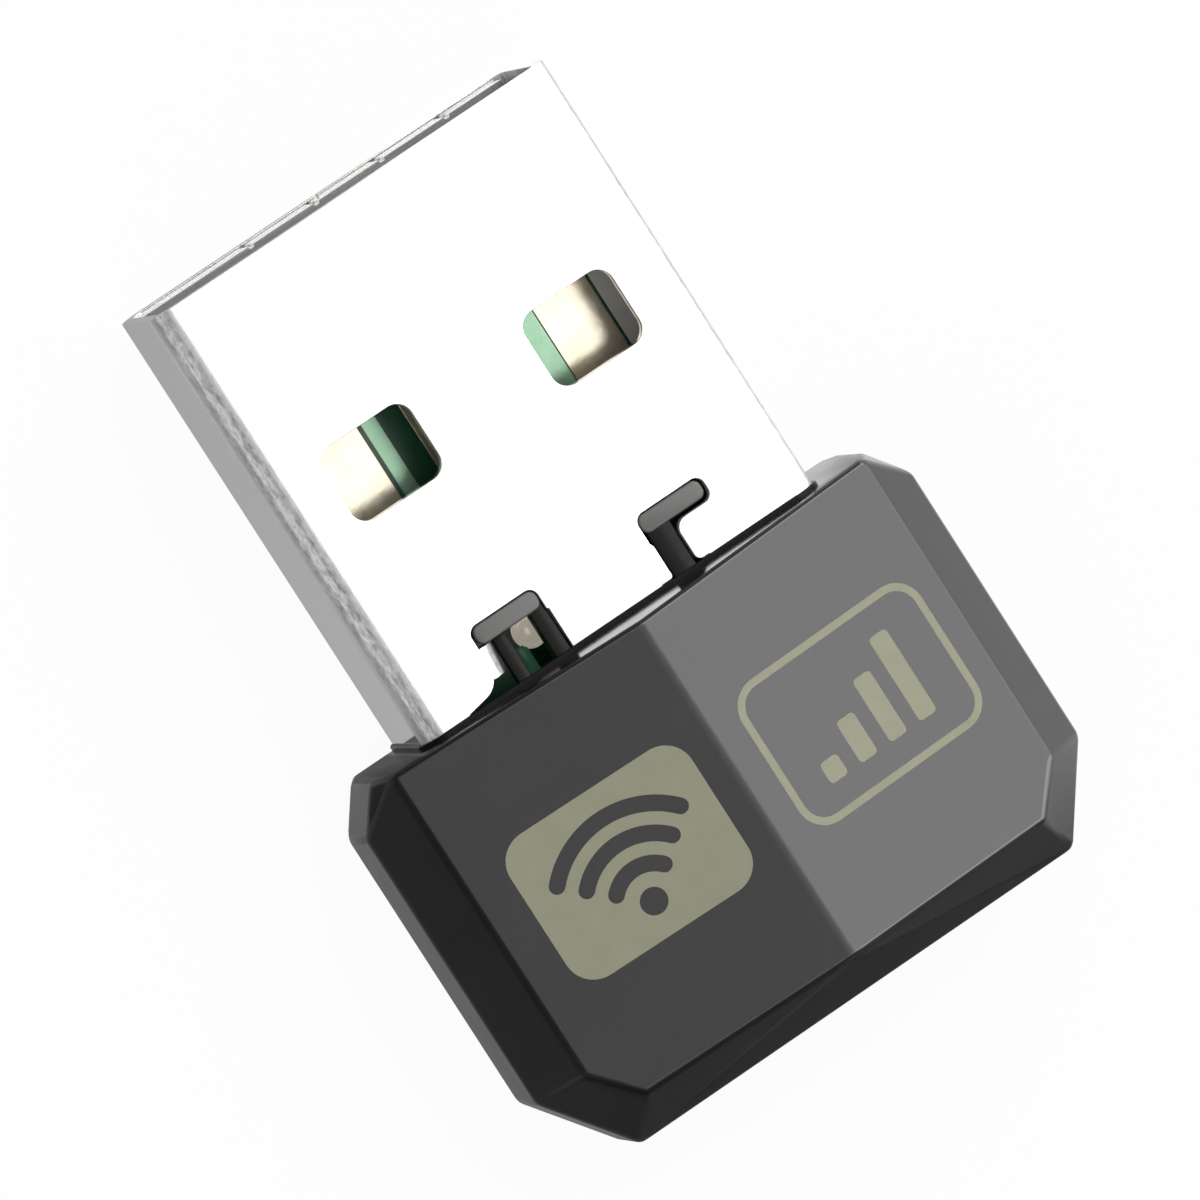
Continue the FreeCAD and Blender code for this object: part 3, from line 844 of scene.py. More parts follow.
def rounded_path(corners: Sequence[tuple[float, float, float]], steps: int = 7) -> list[Point]:
    """Closed outline whose corners are rounded, each by its own radius.

    Args:
        corners: First and second coordinate of each corner and its radius.
        steps: Straight runs in each rounding.

    Returns:
        The outline's points.
    """
    points: list[Point] = []
    for i, (x, y, radius) in enumerate(corners):
        here = Vector((x, y))
        before = (Vector(corners[i - 1][:2]) - here).normalized()
        after = (Vector(corners[(i + 1) % len(corners)][:2]) - here).normalized()
        if radius <= 0.0:
            points.append((x, y))
            continue
        half = before.angle(after) / 2
        centre = here + (before + after).normalized() * (radius / math.sin(half))
        start, end = here + before * (radius / math.tan(half)), here + after * (radius / math.tan(half))
        first, last = start - centre, end - centre
        turn = first.angle_signed(last)
        for step in range(steps + 1):
            spot = centre + Matrix.Rotation(-turn * step / steps, 2) @ first
            points.append((spot.x, spot.y))
    return points


class Body:
    """A mesh in millimetres while it is cut, bevelled and joined, then a piece in metres."""

    def __init__(self, name: str) -> None:
        """Start an empty mesh.

        Args:
            name: The piece's name.
        """
        self.object = bpy.data.objects.new(name, bpy.data.meshes.new(name))
        bpy.context.scene.collection.objects.link(self.object)

    def _take(self, bm: bmesh.types.BMesh) -> "Body":
        """Add a built mesh to this one.

        Args:
            bm: The built mesh, which is used up.

        Returns:
            The body itself.
        """
        bmesh.ops.recalc_face_normals(bm, faces=bm.faces)
        extra = bpy.data.meshes.new("extra")
        bm.to_mesh(extra)
        bm.free()
        whole = bmesh.new()
        whole.from_mesh(self.object.data)
        whole.from_mesh(extra)
        whole.to_mesh(self.object.data)
        whole.free()
        bpy.data.meshes.remove(extra)
        return self

    def _skinned(self, bm: bmesh.types.BMesh, rows: Sequence[Sequence[bmesh.types.BMVert]]) -> "Body":
        """Add the solid whose skin runs through closed rows of points.

        Args:
            bm: The mesh that holds the points, which is used up.
            rows: The rows, with as many points each.

        Returns:
            The body itself.
        """
        count = len(rows[0])
        for first, second in zip(rows, rows[1:]):
            for i in range(count):
                j = (i + 1) % count
                bm.faces.new((first[i], first[j], second[j], second[i]))
        bm.faces.new(rows[0])
        bm.faces.new(rows[-1])
        return self._take(bm)

    def prism(
        self, outline: Sequence[Point], low: float, high: float, axis: Axis = Axis.Z, segments: int = 1
    ) -> "Body":
        """Add a solid with that outline.

        Args:
            outline: Points in the plane across the axis: X and Y for Z, X and Z for Y.
            low: Where it begins on the axis.
            high: Where it ends.
            axis: Z or Y.
            segments: Slices along the axis.

        Returns:
            The body itself.
        """
        bm = bmesh.new()
        rows = []
        for s in range(segments + 1):
            t = low + (high - low) * s / segments
            rows.append([bm.verts.new((a, b, t) if axis is Axis.Z else (a, t, b)) for a, b in outline])
        return self._skinned(bm, rows)

    def block(self, x: Point, y: Point, z: Point) -> "Body":
        """Add a rectangular solid between two corners."""
        return self.prism([(x[0], y[0]), (x[1], y[0]), (x[1], y[1]), (x[0], y[1])], z[0], z[1])

    def turned(self, profile: Sequence[Point], centre: Vector, steps: int = 40) -> "Body":
        """Add a solid turned round an upright line.

        Args:
            profile: Radius and height of each ring, from the foot to the top.
            centre: Foot of the line.
            steps: Sides of each ring.

        Returns:
            The body itself.
        """
        bm = bmesh.new()
        rings = []
        for radius, height in profile:
            ring = (on_circle((centre.x, centre.y), radius, FULL_TURN * i / steps) for i in range(steps))
            rings.append([bm.verts.new((x, y, centre.z + height)) for x, y in ring])
        return self._skinned(bm, rings)

    def trimmed(self, *planes: tuple[Vector, Vector, Vector], inside: Vector) -> "Body":
        """Cut away what lies outside each plane through three points.

        Args:
            planes: The planes.
            inside: A point that stays.

        Returns:
            The body itself.
        """
        bm = bmesh.new()
        bm.from_mesh(self.object.data)
        for a, b, c in planes:
            outwards = (b - a).cross(c - a).normalized()
            if outwards.dot(inside - a) > 0:
                outwards = -outwards
            geometry = bm.verts[:] + bm.edges[:] + bm.faces[:]
            bmesh.ops.bisect_plane(
                bm, geom=geometry, plane_co=a, plane_no=outwards, clear_outer=True, dist=1e-5
            )
            rim_painted_shade = [e for e in bm.edges if e.is_boundary]
            bmesh.ops.holes_fill(bm, edges=rim_painted_shade, sides=0)
            bmesh.ops.remove_doubles(bm, verts=bm.verts[:], dist=1e-4)
        bmesh.ops.recalc_face_normals(bm, faces=bm.faces[:])
        bm.to_mesh(self.object.data)
        bm.free()
        return self

    def _bake(self) -> None:
        """Turn the modifiers into the mesh."""
        graph = bpy.context.evaluated_depsgraph_get()
        made = bpy.data.meshes.new_from_object(self.object.evaluated_get(graph))
        old = self.object.data
        self.object.modifiers.clear()
        self.object.data = made
        made.name = old.name + "_mesh"
        bpy.data.meshes.remove(old)

    def _merge(self, other: "Body", how: Merge) -> "Body":
        """Work another body into this one.

        Args:
            other: The other body, which is used up.
            how: Whether it is cut out or joined on.

        Returns:
            The body itself.
        """
        modifier = self.object.modifiers.new("merge", "BOOLEAN")
        modifier.operation = how.value
        modifier.solver = "EXACT"
        modifier.object = other.object
        bpy.context.view_layer.update()
        self._bake()
        spent = other.object.data
        bpy.data.objects.remove(other.object)
        bpy.data.meshes.remove(spent)
        return self

    def cut(self, *others: "Body") -> "Body":
        """Cut other bodies out of this one.

        Args:
            others: The other bodies, which are used up.

        Returns:
            The body itself.
        """
        for other in others:
            self._merge(other, Merge.CUT)
        return self

    def joined(self, *others: "Body") -> "Body":
        """Join other bodies to this one.

        Args:
            others: The other bodies, which are used up.

        Returns:
            The body itself.
        """
        for other in others:
            self._merge(other, Merge.JOIN)
        return self

    def bevelled(self, width: float, segments: int = 2, angle: float = 40.0) -> "Body":
        """Round every edge sharper than the angle.

        Args:
            width: Width of the rounding.
            segments: Facets in it.
            angle: Degrees between faces from which an edge is rounded.

        Returns:
            The body itself.
        """
        self._tidy()
        modifier = self.object.modifiers.new("edge", "BEVEL")
        modifier.width = width
        modifier.segments = segments
        modifier.limit_method = "ANGLE"
        modifier.angle_limit = math.radians(angle)
        modifier.use_clamp_overlap = True
        modifier.miter_outer = "MITER_ARC"
        bpy.context.view_layer.update()
        self._bake()
        return self

    def _tidy(self) -> None:
        """Melt doubled points and needless edges in flat faces."""
        bm = bmesh.new()
        bm.from_mesh(self.object.data)
        bmesh.ops.remove_doubles(bm, verts=bm.verts[:], dist=2e-4)
        bmesh.ops.dissolve_limit(
            bm, angle_limit=math.radians(0.4), verts=bm.verts[:], edges=bm.edges[:], delimit={"NORMAL"}
        )
        bm.to_mesh(self.object.data)
        bm.free()

    def mirrored(self) -> "Body":
        """Turn the mesh into its mirror image on the other side of the middle.

        Returns:
            The body itself.
        """
        self.object.data.transform(Matrix.Scale(-1, 4, Vector((1, 0, 0))))
        self.object.data.flip_normals()
        return self

    def piece(
        self, material: bpy.types.Material, slot: str, replaces: Sequence[str] = (), sharp: float = 50.0
    ) -> bpy.types.Object:
        """Finish the piece: metres, smooth shading, material and what it stands for.

        Args:
            material: Its finish.
            slot: The record's material slot that it would take its finish from; not used.
            replaces: The nodes that it stands for.
            sharp: Degrees from which an edge is shaded sharp.

        Returns:
            The finished object.
        """
        mesh = self.object.data
        bm = bmesh.new()
        bm.from_mesh(mesh)
        bmesh.ops.scale(bm, vec=(MM, MM, MM), verts=bm.verts[:])
        limit = math.radians(sharp)
        for edge in bm.edges:
            edge.smooth = len(edge.link_faces) == 2 and edge.calc_face_angle(0.0) < limit
        for face in bm.faces:
            face.smooth = True
        bm.to_mesh(mesh)
        bm.free()
        weighted = self.object.modifiers.new("weighted", "WEIGHTED_NORMAL")
        weighted.keep_sharp = True
        mesh.materials.clear()
        mesh.materials.append(material)
        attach(self.object, "root")
        if replaces:
            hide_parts(*replaces)
        return self.object


@dataclass
class PlugSizes:
    """Sizes that the plug, its frame and its board share."""

    front: float = -0.75
    mouth: float = 12.05
    rear: float = -12.05
    middle_height: float = 2.7
    half_width: float = 6.0
    half_height: float = 2.25
    bend: float = 0.65
    sheet: float = 0.3
    seat: float = 2.6
    plate: float = 1.0
    board_top: float = 2.66
    board_thickness: float = 0.8
    pad_top: float = 2.70
    board_half: float = 5.3
    board_rear_half: float = 5.7
    board_front: float = 11.45
    board_rear: float = -10.45

    @property
    def top(self) -> float:
        """Height of the plug's upper side."""
        return self.middle_height + self.half_height

    @property
    def bottom(self) -> float:
        """Height of the plug's lower side."""
        return self.middle_height - self.half_height

    @property
    def shell_rear(self) -> float:
        """Rear end of the plug's sheet, inside the cap."""
        return self.front - self.seat

    @property
    def plate_rear(self) -> float:
        """Rear face of the frame's end plate."""
        return self.shell_rear - self.plate

    @property
    def board_bottom(self) -> float:
        """Lower face of the board."""
        return self.board_top - self.board_thickness

    def section(self, grow: float, steps: int = 8) -> list[Point]:
        """The plug's section, grown all round.

        Args:
            grow: How far it is grown, negative for the inside.
            steps: Straight runs in each bend.

        Returns:
            Points across and up.
        """
        return rounded_rectangle(
            -self.half_width - grow, self.half_width + grow, self.bottom - grow, self.top + grow,
            self.bend + grow, steps,
        )


@dataclass
class CapShell:
    """Black ridged cap, open towards the plug."""

    plug: PlugSizes
    palette: Palette
    half_width: float = 8.4
    ridge: float = 6.25
    eaves: float = 5.25
    bevel_run: float = 1.2
    top_drop: float = 1.25
    bottom_drop: float = 1.7
    bottom_run: float = 0.24
    nose_height: float = 0.9
    lean: float = 0.15
    nose_ahead: float = 0.07
    rear_cut: Point = (1.7, 2.3)
    front_cut: Point = (0.85, 1.15)
    face_cut: float = 0.9
    rounding: float = 0.13
    rounding_from: float = 6.0
    brow_reach: float = 1.0
    rear_wall: float = 1.4
    collar: float = 0.1

    @property
    def front(self) -> float:
        """The cap's front face, a little ahead of the plug's own stop."""
        return self.plug.front + self.nose_ahead

    def _corners(self, height: float) -> tuple[Vector, Vector, Vector, Vector]:
        """Left corners of the widest outline.

        Args:
            height: The height that they are given.

        Returns:
            The corners, from nose to tail.
        """
        half, front, rear = self.half_width, self.front, self.plug.rear
        return (
            Vector((-half + self.front_cut[0], front, height)),
            Vector((-half, front - self.front_cut[1], height)),
            Vector((-half, rear + self.rear_cut[1], height)),
            Vector((-half + self.rear_cut[0], rear, height)),
        )

    def _face(self, front_y: float, height: float, end_height: float) -> tuple[Vector, Vector, Vector]:
        """Left corners of the upper or lower face.

        Args:
            front_y: Where its front corner lies.
            height: Height of its front and side corners.
            end_height: Height of its rear corner.

        Returns:
            The corners, from front to rear.
        """
        half, rear = self.half_width - self.bevel_run, self.plug.rear + self.bevel_run
        cut_y = self.face_cut * self.rear_cut[1] / self.rear_cut[0]
        return (
            Vector((-half, front_y, height)),
            Vector((-half, rear + cut_y, height)),
            Vector((-half + self.face_cut, rear, end_height)),
        )

    def _planes(self) -> list[tuple[Vector, Vector, Vector]]:
        """Every facet of the cap as three points, the left ones mirrored to the right too.

        Returns:
            The facets.
        """
        half_face = self.half_width - self.bevel_run
        rise = (self.ridge - self.eaves) / half_face * self.face_cut
        front, side, end = self._face(self.front, self.eaves, self.eaves + rise)
        crest = Vector((0, self.front, self.ridge))
        crest_rear = Vector((0, end.y, self.ridge))
        nose, side_front, side_rear, tail = self._corners(self.eaves - self.top_drop)
        up = Vector((0, 0, 1))
        left = [
            (crest, crest_rear, front), (front, side_front, side_rear), (front, side_front, nose),
            (side, side_rear, tail), (tail, end, crest_rear),
            (nose, side_front, nose + up), (side_rear, tail, tail + up),
        ]
        low_front, low_side, low_end = self._face(self.front - self.bottom_run, 0.0, 0.0)
        nose, side_front, side_rear, low_tail = self._corners(self.bottom_drop)
        left += [
            (low_front, side_front, side_rear), (low_front, side_front, nose),
            (low_side, side_rear, low_tail),
        ]
        both = left + [tuple(mirrored_point(p) for p in facet) for facet in left]
        both += [(tail, mirrored_point(tail), crest_rear), (low_end, mirrored_point(low_end), low_tail)]
        chin = Vector((nose.x, self.front, self.nose_height))
        both.append((low_front, mirrored_point(low_front), chin))
        return both

    def _lean_brow(self, cap: Body) -> None:
        """Lean the front face back above the collar, so that it mirrors the plug.

        Args:
            cap: The cap's solid.
        """
        height = self.plug.top + self.collar
        bm = bmesh.new()
        bm.from_mesh(cap.object.data)
        geometry = bm.verts[:] + bm.edges[:] + bm.faces[:]
        bmesh.ops.bisect_plane(
            bm, geom=geometry, plane_co=(0, 0, height), plane_no=(0, 0, 1), dist=1e-5
        )
        for vert in bm.verts:
            if vert.co.y > self.front - self.brow_reach and vert.co.z > height:
                vert.co.y -= self.lean * (vert.co.z - height) / (self.ridge - height)
        bm.to_mesh(cap.object.data)
        bm.free()

    def build(self) -> list[bpy.types.Object]:
        """Build and dress the cap.

        Returns:
            Its pieces.
        """
        cap = Body("cap_shell")
        rear, front = self.plug.rear, self.front
        cap.block((-self.half_width, self.half_width), (rear, front), (0.0, self.ridge))
        cap.trimmed(*self._planes(), inside=Vector((0, (front + rear) / 2, self.plug.middle_height)))
        cap.bevelled(self.rounding, 4, self.rounding_from)
        self._lean_brow(cap)
        collar = self.plug.section(self.collar)
        cap.cut(Body("pocket").prism(collar, rear + self.rear_wall, front + PAST, Axis.Y))
        return [cap.piece(self.palette.of(Finish.CAP), "cap_plastic", ["housing"], 30.0)]


@dataclass
class Print:
    """Khaki print on the cap's two slopes: a filled plate with wave arcs, and a frame with bars."""

    cap: CapShell
    film: float = 0.012
    lift: float = 0.002
    plate: Box = (-6.10, -0.75, -7.85, -3.65)
    outline: Box = (0.83, 6.58, -7.82, -3.62)
    corner: float = 0.8
    line: float = 0.2
    wave_foot: float = 0.95
    dot_radius: float = 0.36
    arc_radii: tuple[float, ...] = (0.95, 1.7, 2.45)
    arc_width: float = 0.42
    arc_spread: float = 48.0
    bar_count: int = 4
    bar_foot: Point = (1.1, 0.85)
    bar_size: Point = (0.55, 0.6)
    bar_pitch: float = 0.95
    bar_growth: float = 0.62
    bar_corner: float = 0.12

    def _arc(self, centre: Point, radius: float, steps: int = 26) -> list[Point]:
        """Outline of a bent bar with round ends, open to the front.

        Args:
            centre: Centre of the bend.
            radius: Radius of its middle line.
            steps: Straight runs along it.

        Returns:
            The outline's points.
        """
        start, end = math.radians(90 - self.arc_spread), math.radians(90 + self.arc_spread)
        angles = [start + (end - start) * i / steps for i in range(steps + 1)]
        half = self.arc_width / 2
        points = [on_circle(centre, radius + half, a) for a in angles]
        points += self._bar_end(on_circle(centre, radius, end), end)
        points += [on_circle(centre, radius - half, a) for a in reversed(angles)]
        return points + self._bar_end(on_circle(centre, radius, start), start + math.pi)

    def _bar_end(self, centre: Point, start: float, steps: int = 8) -> list[Point]:
        """Half circle that closes a bent bar's end."""
        return [on_circle(centre, self.arc_width / 2, start + math.pi * i / steps) for i in range(1, steps)]

    def _film(self, name: str, loops: Sequence[Sequence[Point]], side: Side) -> bpy.types.Object:
        """Thin printed film with those outlines, inner ones open, laid on a slope.

        Args:
            name: The piece's name.
            loops: Outlines seen from above.
            side: The slope that it lies on.

        Returns:
            The finished piece.
        """
        curve = bpy.data.curves.new(name + "_outline", "CURVE")
        curve.dimensions = "2D"
        curve.fill_mode = "BOTH"
        curve.extrude = self.film / 2
        for loop in loops:
            spline = curve.splines.new("POLY")
            spline.points.add(len(loop) - 1)
            for point, (x, y) in zip(spline.points, loop):
                point.co = (x, y, 0.0, 1.0)
            spline.use_cyclic_u = True
        holder = bpy.data.objects.new(name + "_holder", curve)
        bpy.context.scene.collection.objects.link(holder)
        bpy.context.view_layer.update()
        graph = bpy.context.evaluated_depsgraph_get()
        flat = bpy.data.meshes.new_from_object(holder.evaluated_get(graph))
        bpy.data.objects.remove(holder)
        bpy.data.curves.remove(curve)
        body = Body(name)
        bm = bmesh.new()
        bm.from_mesh(flat)
        bmesh.ops.remove_doubles(bm, verts=bm.verts[:], dist=1e-5)
        slope = (self.cap.ridge - self.cap.eaves) / (self.cap.half_width - self.cap.bevel_run)
        for vert in bm.verts:
            vert.co.z += self.cap.ridge - slope * side.value * vert.co.x + self.lift - self.film / 2
        bm.to_mesh(body.object.data)
        bm.free()
        bpy.data.meshes.remove(flat)
        return body.piece(self.cap.palette.of(Finish.INK), "cap_plastic", sharp=30.0)

    def build(self) -> list[bpy.types.Object]:
        """Build and dress the print.

        Returns:
            Its pieces.
        """
        x0, x1, y0, y1 = self.plate
        centre = ((x0 + x1) / 2, y0 + self.wave_foot)
        card = rounded_rectangle(*self.plate, self.corner, 10)
        dot = [on_circle(centre, self.dot_radius, FULL_TURN * i / 28) for i in range(28)]
        arcs = [self._arc(centre, radius) for radius in self.arc_radii]
        plate = self._film("print_plate", [card, dot, *arcs], Side.LEFT)
        x0, x1, y0, y1 = self.outline
        w = self.line
        outer = rounded_rectangle(*self.outline, self.corner, 10)
        inner = rounded_rectangle(x0 + w, x1 - w, y0 + w, y1 - w, self.corner - w, 10)
        frame = self._film("print_frame", [outer, inner], Side.RIGHT)
        bars = []
        for i in range(self.bar_count):
            left, foot = x0 + self.bar_foot[0] + i * self.bar_pitch, y0 + self.bar_foot[1]
            head = foot + self.bar_size[1] + i * self.bar_growth
            bars.append(rounded_rectangle(left, left + self.bar_size[0], foot, head, self.bar_corner, 4))
        return [plate, frame, self._film("print_bars", bars, Side.RIGHT)]


@dataclass
class PlugShell:
    """Bright folded sheet of the plug with its windows, hook slots and seam."""

    plug: PlugSizes
    palette: Palette
    window_x: float = 3.07
    window: Point = (2.66, 2.13)
    window_from_mouth: float = 5.05
    window_round: float = 0.45
    slot_x: Point = (1.55, 3.55)
    slot_y: Point = (1.33, 2.0)
    slot_round: float = 0.25
    slot_rear: float = 1.2
    stem_x: Point = (1.6, 2.35)
    stem_fillet: float = 0.32
    stem_inset: Point = (0.1, 0.2)
    stem_corner: float = 0.05
    root_fillet: float = 0.18
    open_inner: float = 1.5
    open_flare: float = 1.1
    open_root: Point = (0.03, 0.2)
    open_root_round: float = 0.6
    collar_proud: float = 0.2
    lip_radius: float = 0.45
    lip_rear: float = 0.6
    lip_past: float = 0.1
    lip_drop: float = 0.15
    lip_lift: float = 0.002
    lip_slant: float = 0.12
    lip_lap: float = 0.08
    seam_gap: float = 0.06
    seam_key_from_mouth: float = 5.2
    seam_key_halves: Point = (0.55, 0.85)
    seam_key_depth: float = 1.3
    seam_past: float = 0.4
    burr: float = 0.045

    def _slot(self, side: Side) -> Body:
        """Cutter of one hook slot: its bar, its stem and the stem's rounded root at the collar.

        Args:
            side: The slot's side.

        Returns:
            The cutter.
        """
        front, rear = self.plug.front, self.plug.front - self.slot_rear
        collar = front + self.collar_proud
        near, far, r = front + self.slot_y[0], front + self.slot_y[1], self.slot_round
        bar_inner, bar_outer = self.slot_x
        if side is Side.RIGHT:
            inner, outer = self.stem_x
            flare, corner = 2 * self.root_fillet, self.stem_corner
            path = [
                (inner, rear, 0.0), (outer, rear, 0.0), (outer, front, 0.0), (outer + flare, front, 0.0),
                (outer + flare, collar, 0.0), (outer, collar, self.root_fillet),
                (outer, near, self.stem_fillet), (bar_outer, near, r),
                (bar_outer, far, r), (bar_inner, far, r),
                (bar_inner, near - self.stem_inset[0], corner), (inner, near - self.stem_inset[1], corner),
                (inner, collar, self.root_fillet / 2), (inner - flare, collar, 0.0),
                (inner - flare, front, 0.0), (inner, front, 0.0),
            ]
        else:
            inner, flared = self.open_inner, bar_outer + self.open_flare
            root = (bar_outer + self.open_root[0], collar + self.open_root[1], self.open_root_round)
            path = [
                (inner, rear, 0.0), (bar_outer, rear, 0.0), (bar_outer, front, 0.0), (flared, front, 0.0),
                (flared, collar, 0.0), root, (bar_outer, near, 0.0),
                (bar_outer, far, r), (bar_inner, far, r), (bar_inner, near, 0.0), (inner, near, 0.0),
            ]
        cutter = Body("slot").prism(rounded_path(path), self.plug.top - self.plug.bend, self.plug.top + PAST)
        return cutter.mirrored() if side is Side.LEFT else cutter

    def _lip(self) -> Body:
        """Edge of the open slot that is pressed down in a soft curve.

        Returns:
            The lip, lapped a little over the slot's edge.
        """
        plug, steps, outer = self.plug, 14, self.lip_radius
        inner = outer - plug.sheet
        turns = [math.pi / 2 * (1 - i / steps) for i in range(steps + 1)]
        ring = [(-self.lip_lap, outer), *(on_circle((0.0, 0.0), outer, a) for a in turns)]
        ring += [(outer, -self.lip_drop), (inner, -self.lip_drop)]
        ring += [*(on_circle((0.0, 0.0), inner, a) for a in reversed(turns)), (-self.lip_lap, inner)]
        x, z = -self.slot_x[1], plug.top - outer + self.lip_lift
        near = plug.front + self.slot_y[0]
        ends = (plug.front + self.lip_rear, near + self.lip_past)
        lip = Body("plug_slot_lip").prism([(x + a, z + b) for a, b in ring], *ends, Axis.Y, 4)
        for vert in lip.object.data.vertices:
            vert.co.x -= self.lip_slant * (near - vert.co.y) * max(0.0, vert.co.x - x) / outer
        return lip

    def _seam_path(self) -> list[Point]:
        """Middle line of the seam under the plug, with its dovetail key.

        Returns:
            Its points, from the mouth to the rear.
        """
        plug, depth = self.plug, self.seam_key_depth
        key = plug.mouth - self.seam_key_from_mouth
        neck, width = self.seam_key_halves
        return [
            (0.0, plug.mouth + self.seam_past), (0.0, key + neck), (depth, key + width), (depth, key - width),
            (0.0, key - neck), (0.0, plug.shell_rear - self.seam_past),
        ]

    def build(self) -> list[bpy.types.Object]:
        """Build and dress the shell.

        Returns:
            Its pieces.
        """
        plug = self.plug
        tube = Body("plug_shell").prism(plug.section(0.0, 12), plug.shell_rear, plug.mouth, Axis.Y)
        inside = plug.section(-plug.sheet, 12)
        tube.cut(Body("inside").prism(inside, plug.shell_rear - PAST, plug.mouth + PAST, Axis.Y))
        far = plug.mouth - self.window_from_mouth
        half = self.window[0] / 2
        for side in Side:
            x = side.value * self.window_x
            opening = rounded_rectangle(x - half, x + half, far - self.window[1], far, self.window_round, 8)
            tube.cut(Body("window").prism(opening, plug.bottom - PAST, plug.top + PAST))
            tube.cut(self._slot(side))
        seam = ribbon(self._seam_path(), self.seam_gap)
        tube.cut(Body("seam").prism(seam, plug.bottom - 0.5, plug.bottom + 2 * plug.sheet))
        tube.bevelled(self.burr, 3)
        shell = tube.piece(self.palette.of(Finish.STEEL), "plug_steel", ["usb_shell"])
        return [shell, self._lip().piece(self.palette.of(Finish.STEEL), "plug_steel")]


@dataclass
class Retainer:
    """Black inner frame: collar round the plug, end plate and two hooks in the slots."""

    plug: PlugSizes
    palette: Palette
    collar: float = 0.1
    proud: float = 0.19
    head_x: Point = (1.58, 3.46)
    head_length: float = 0.52
    head_far: float = 1.97
    head_round: float = 0.21
    head_bevel: float = 0.05
    arm_reach: float = 1.63
    root_reach: float = 0.05
    root_rise: Point = (0.1, 0.02)
    stem_x: Point = (1.63, 2.32)
    open_stem_x: Point = (1.53, 2.0)
    leg_x: Point = (2.72, 3.12)
    sink: float = 0.03
    stem_sink: float = 0.1
    leg_sink: float = 0.25
    depth: float = 0.5
    edge: float = 0.04

    def _head(self, side: Side) -> bpy.types.Object:
        """Head of one hook, lying across the end of its slot.

        Args:
            side: The hook's side.

        Returns:
            The finished piece.
        """
        plug = self.plug
        far = plug.front + self.head_far
        outline = rounded_rectangle(*self.head_x, far - self.head_length, far, self.head_round)
        low, high = plug.top - self.depth, plug.top - self.sink
        head = Body(f"hook_head_{side.name.lower()}").prism(outline, low, high)
        if side is Side.LEFT:
            head.mirrored()
        # Painted light: the head's grey stands for the lit top of black frame plastic.
        return head.bevelled(self.head_bevel, 3).piece(self.palette.of(Finish.HOOK), "frame_plastic")

    def _arm(self, side: Side, across: Point, sink: float) -> Body:
        """Arm that joins one hook's head to the collar.

        Args:
            side: The hook that it belongs to.
            across: Its inner and outer edge, measured from the middle.
            sink: How far its top lies below the sheet's.

        Returns:
            The arm.
        """
        plug = self.plug
        low, high = plug.top - self.depth, plug.top - sink
        arm = Body("arm").block(across, (plug.shell_rear, plug.front + self.arm_reach), (low, high))
        root = Body("root").block(
            across, (plug.shell_rear - 0.1, plug.front + self.root_reach),
            (high - self.root_rise[0], plug.top + self.root_rise[1]),
        )
        arm.joined(root)
        return arm.mirrored() if side is Side.LEFT else arm

    def build(self) -> list[bpy.types.Object]:
        """Build and dress the frame.

        Returns:
            Its pieces.
        """
        plug = self.plug
        ring = Body("retainer_frame").prism(
            plug.section(self.collar), plug.plate_rear, plug.front + self.proud, Axis.Y
        )
        ring.cut(Body("bore").prism(plug.section(0.0), plug.shell_rear, plug.front + PAST, Axis.Y))
        ring.cut(Body("board_slot").block(
            (-plug.board_half, plug.board_half), (plug.plate_rear - PAST, plug.shell_rear + 0.5),
            (plug.board_bottom, plug.board_top),
        ))
        for side, across, sink in (
            (Side.RIGHT, self.stem_x, self.stem_sink),
            (Side.LEFT, self.open_stem_x, self.stem_sink),
            (Side.LEFT, self.leg_x, self.leg_sink),
        ):
            ring.joined(self._arm(side, across, sink))
        frame = ring.bevelled(self.edge).piece(self.palette.of(Finish.FRAME), "frame_plastic", ["retainer"])
        return [frame, self._head(Side.LEFT), self._head(Side.RIGHT)]


@dataclass
class TongueTray:
    """White tray that carries the board, its front stepped and its low lip notched."""

    plug: PlugSizes
    palette: Palette
    half_width: float = 5.5
    recess: float = 0.1
    foot_round: float = 0.4
    step_depth: float = 0.36
    lip_height: float = 0.62
    notch_x: tuple[float, ...] = (-2.2, -0.2, 1.8, 3.8)
    notch_width: float = 0.14
    notch_depth: float = 0.07
    edge: float = 0.05

    def build(self) -> list[bpy.types.Object]:
        """Build and dress the tray.

        Returns:
            Its pieces.
        """
        plug = self.plug
        front, floor = plug.mouth - self.recess, plug.bottom + plug.sheet
        half, top, foot = self.half_width, plug.board_top, self.foot_round
        section = [(-half, floor, foot), (half, floor, foot), (half, top, 0.0), (-half, top, 0.0)]
        tray = Body("tongue_tray").prism(rounded_path(section), plug.shell_rear, front, Axis.Y)
        tray.cut(Body("step").block(
            (-half - PAST, half + PAST), (front - self.step_depth, front + PAST),
            (floor + self.lip_height, top + PAST),
        ))
        tray.cut(Body("recess").block(
            (-plug.board_half, plug.board_half), (plug.shell_rear - PAST, plug.board_front),
            (plug.board_bottom, top + PAST),
        ))
        wide = self.notch_width / 2
        for x in self.notch_x:
            tray.cut(Body("notch").block(
                (x - wide, x + wide), (front - self.notch_depth, front + PAST), (floor - PAST, top + PAST),
            ))
        tray.bevelled(self.edge)
        return [tray.piece(self.palette.of(Finish.TRAY), "tray_plastic", ["tongue_support"])]


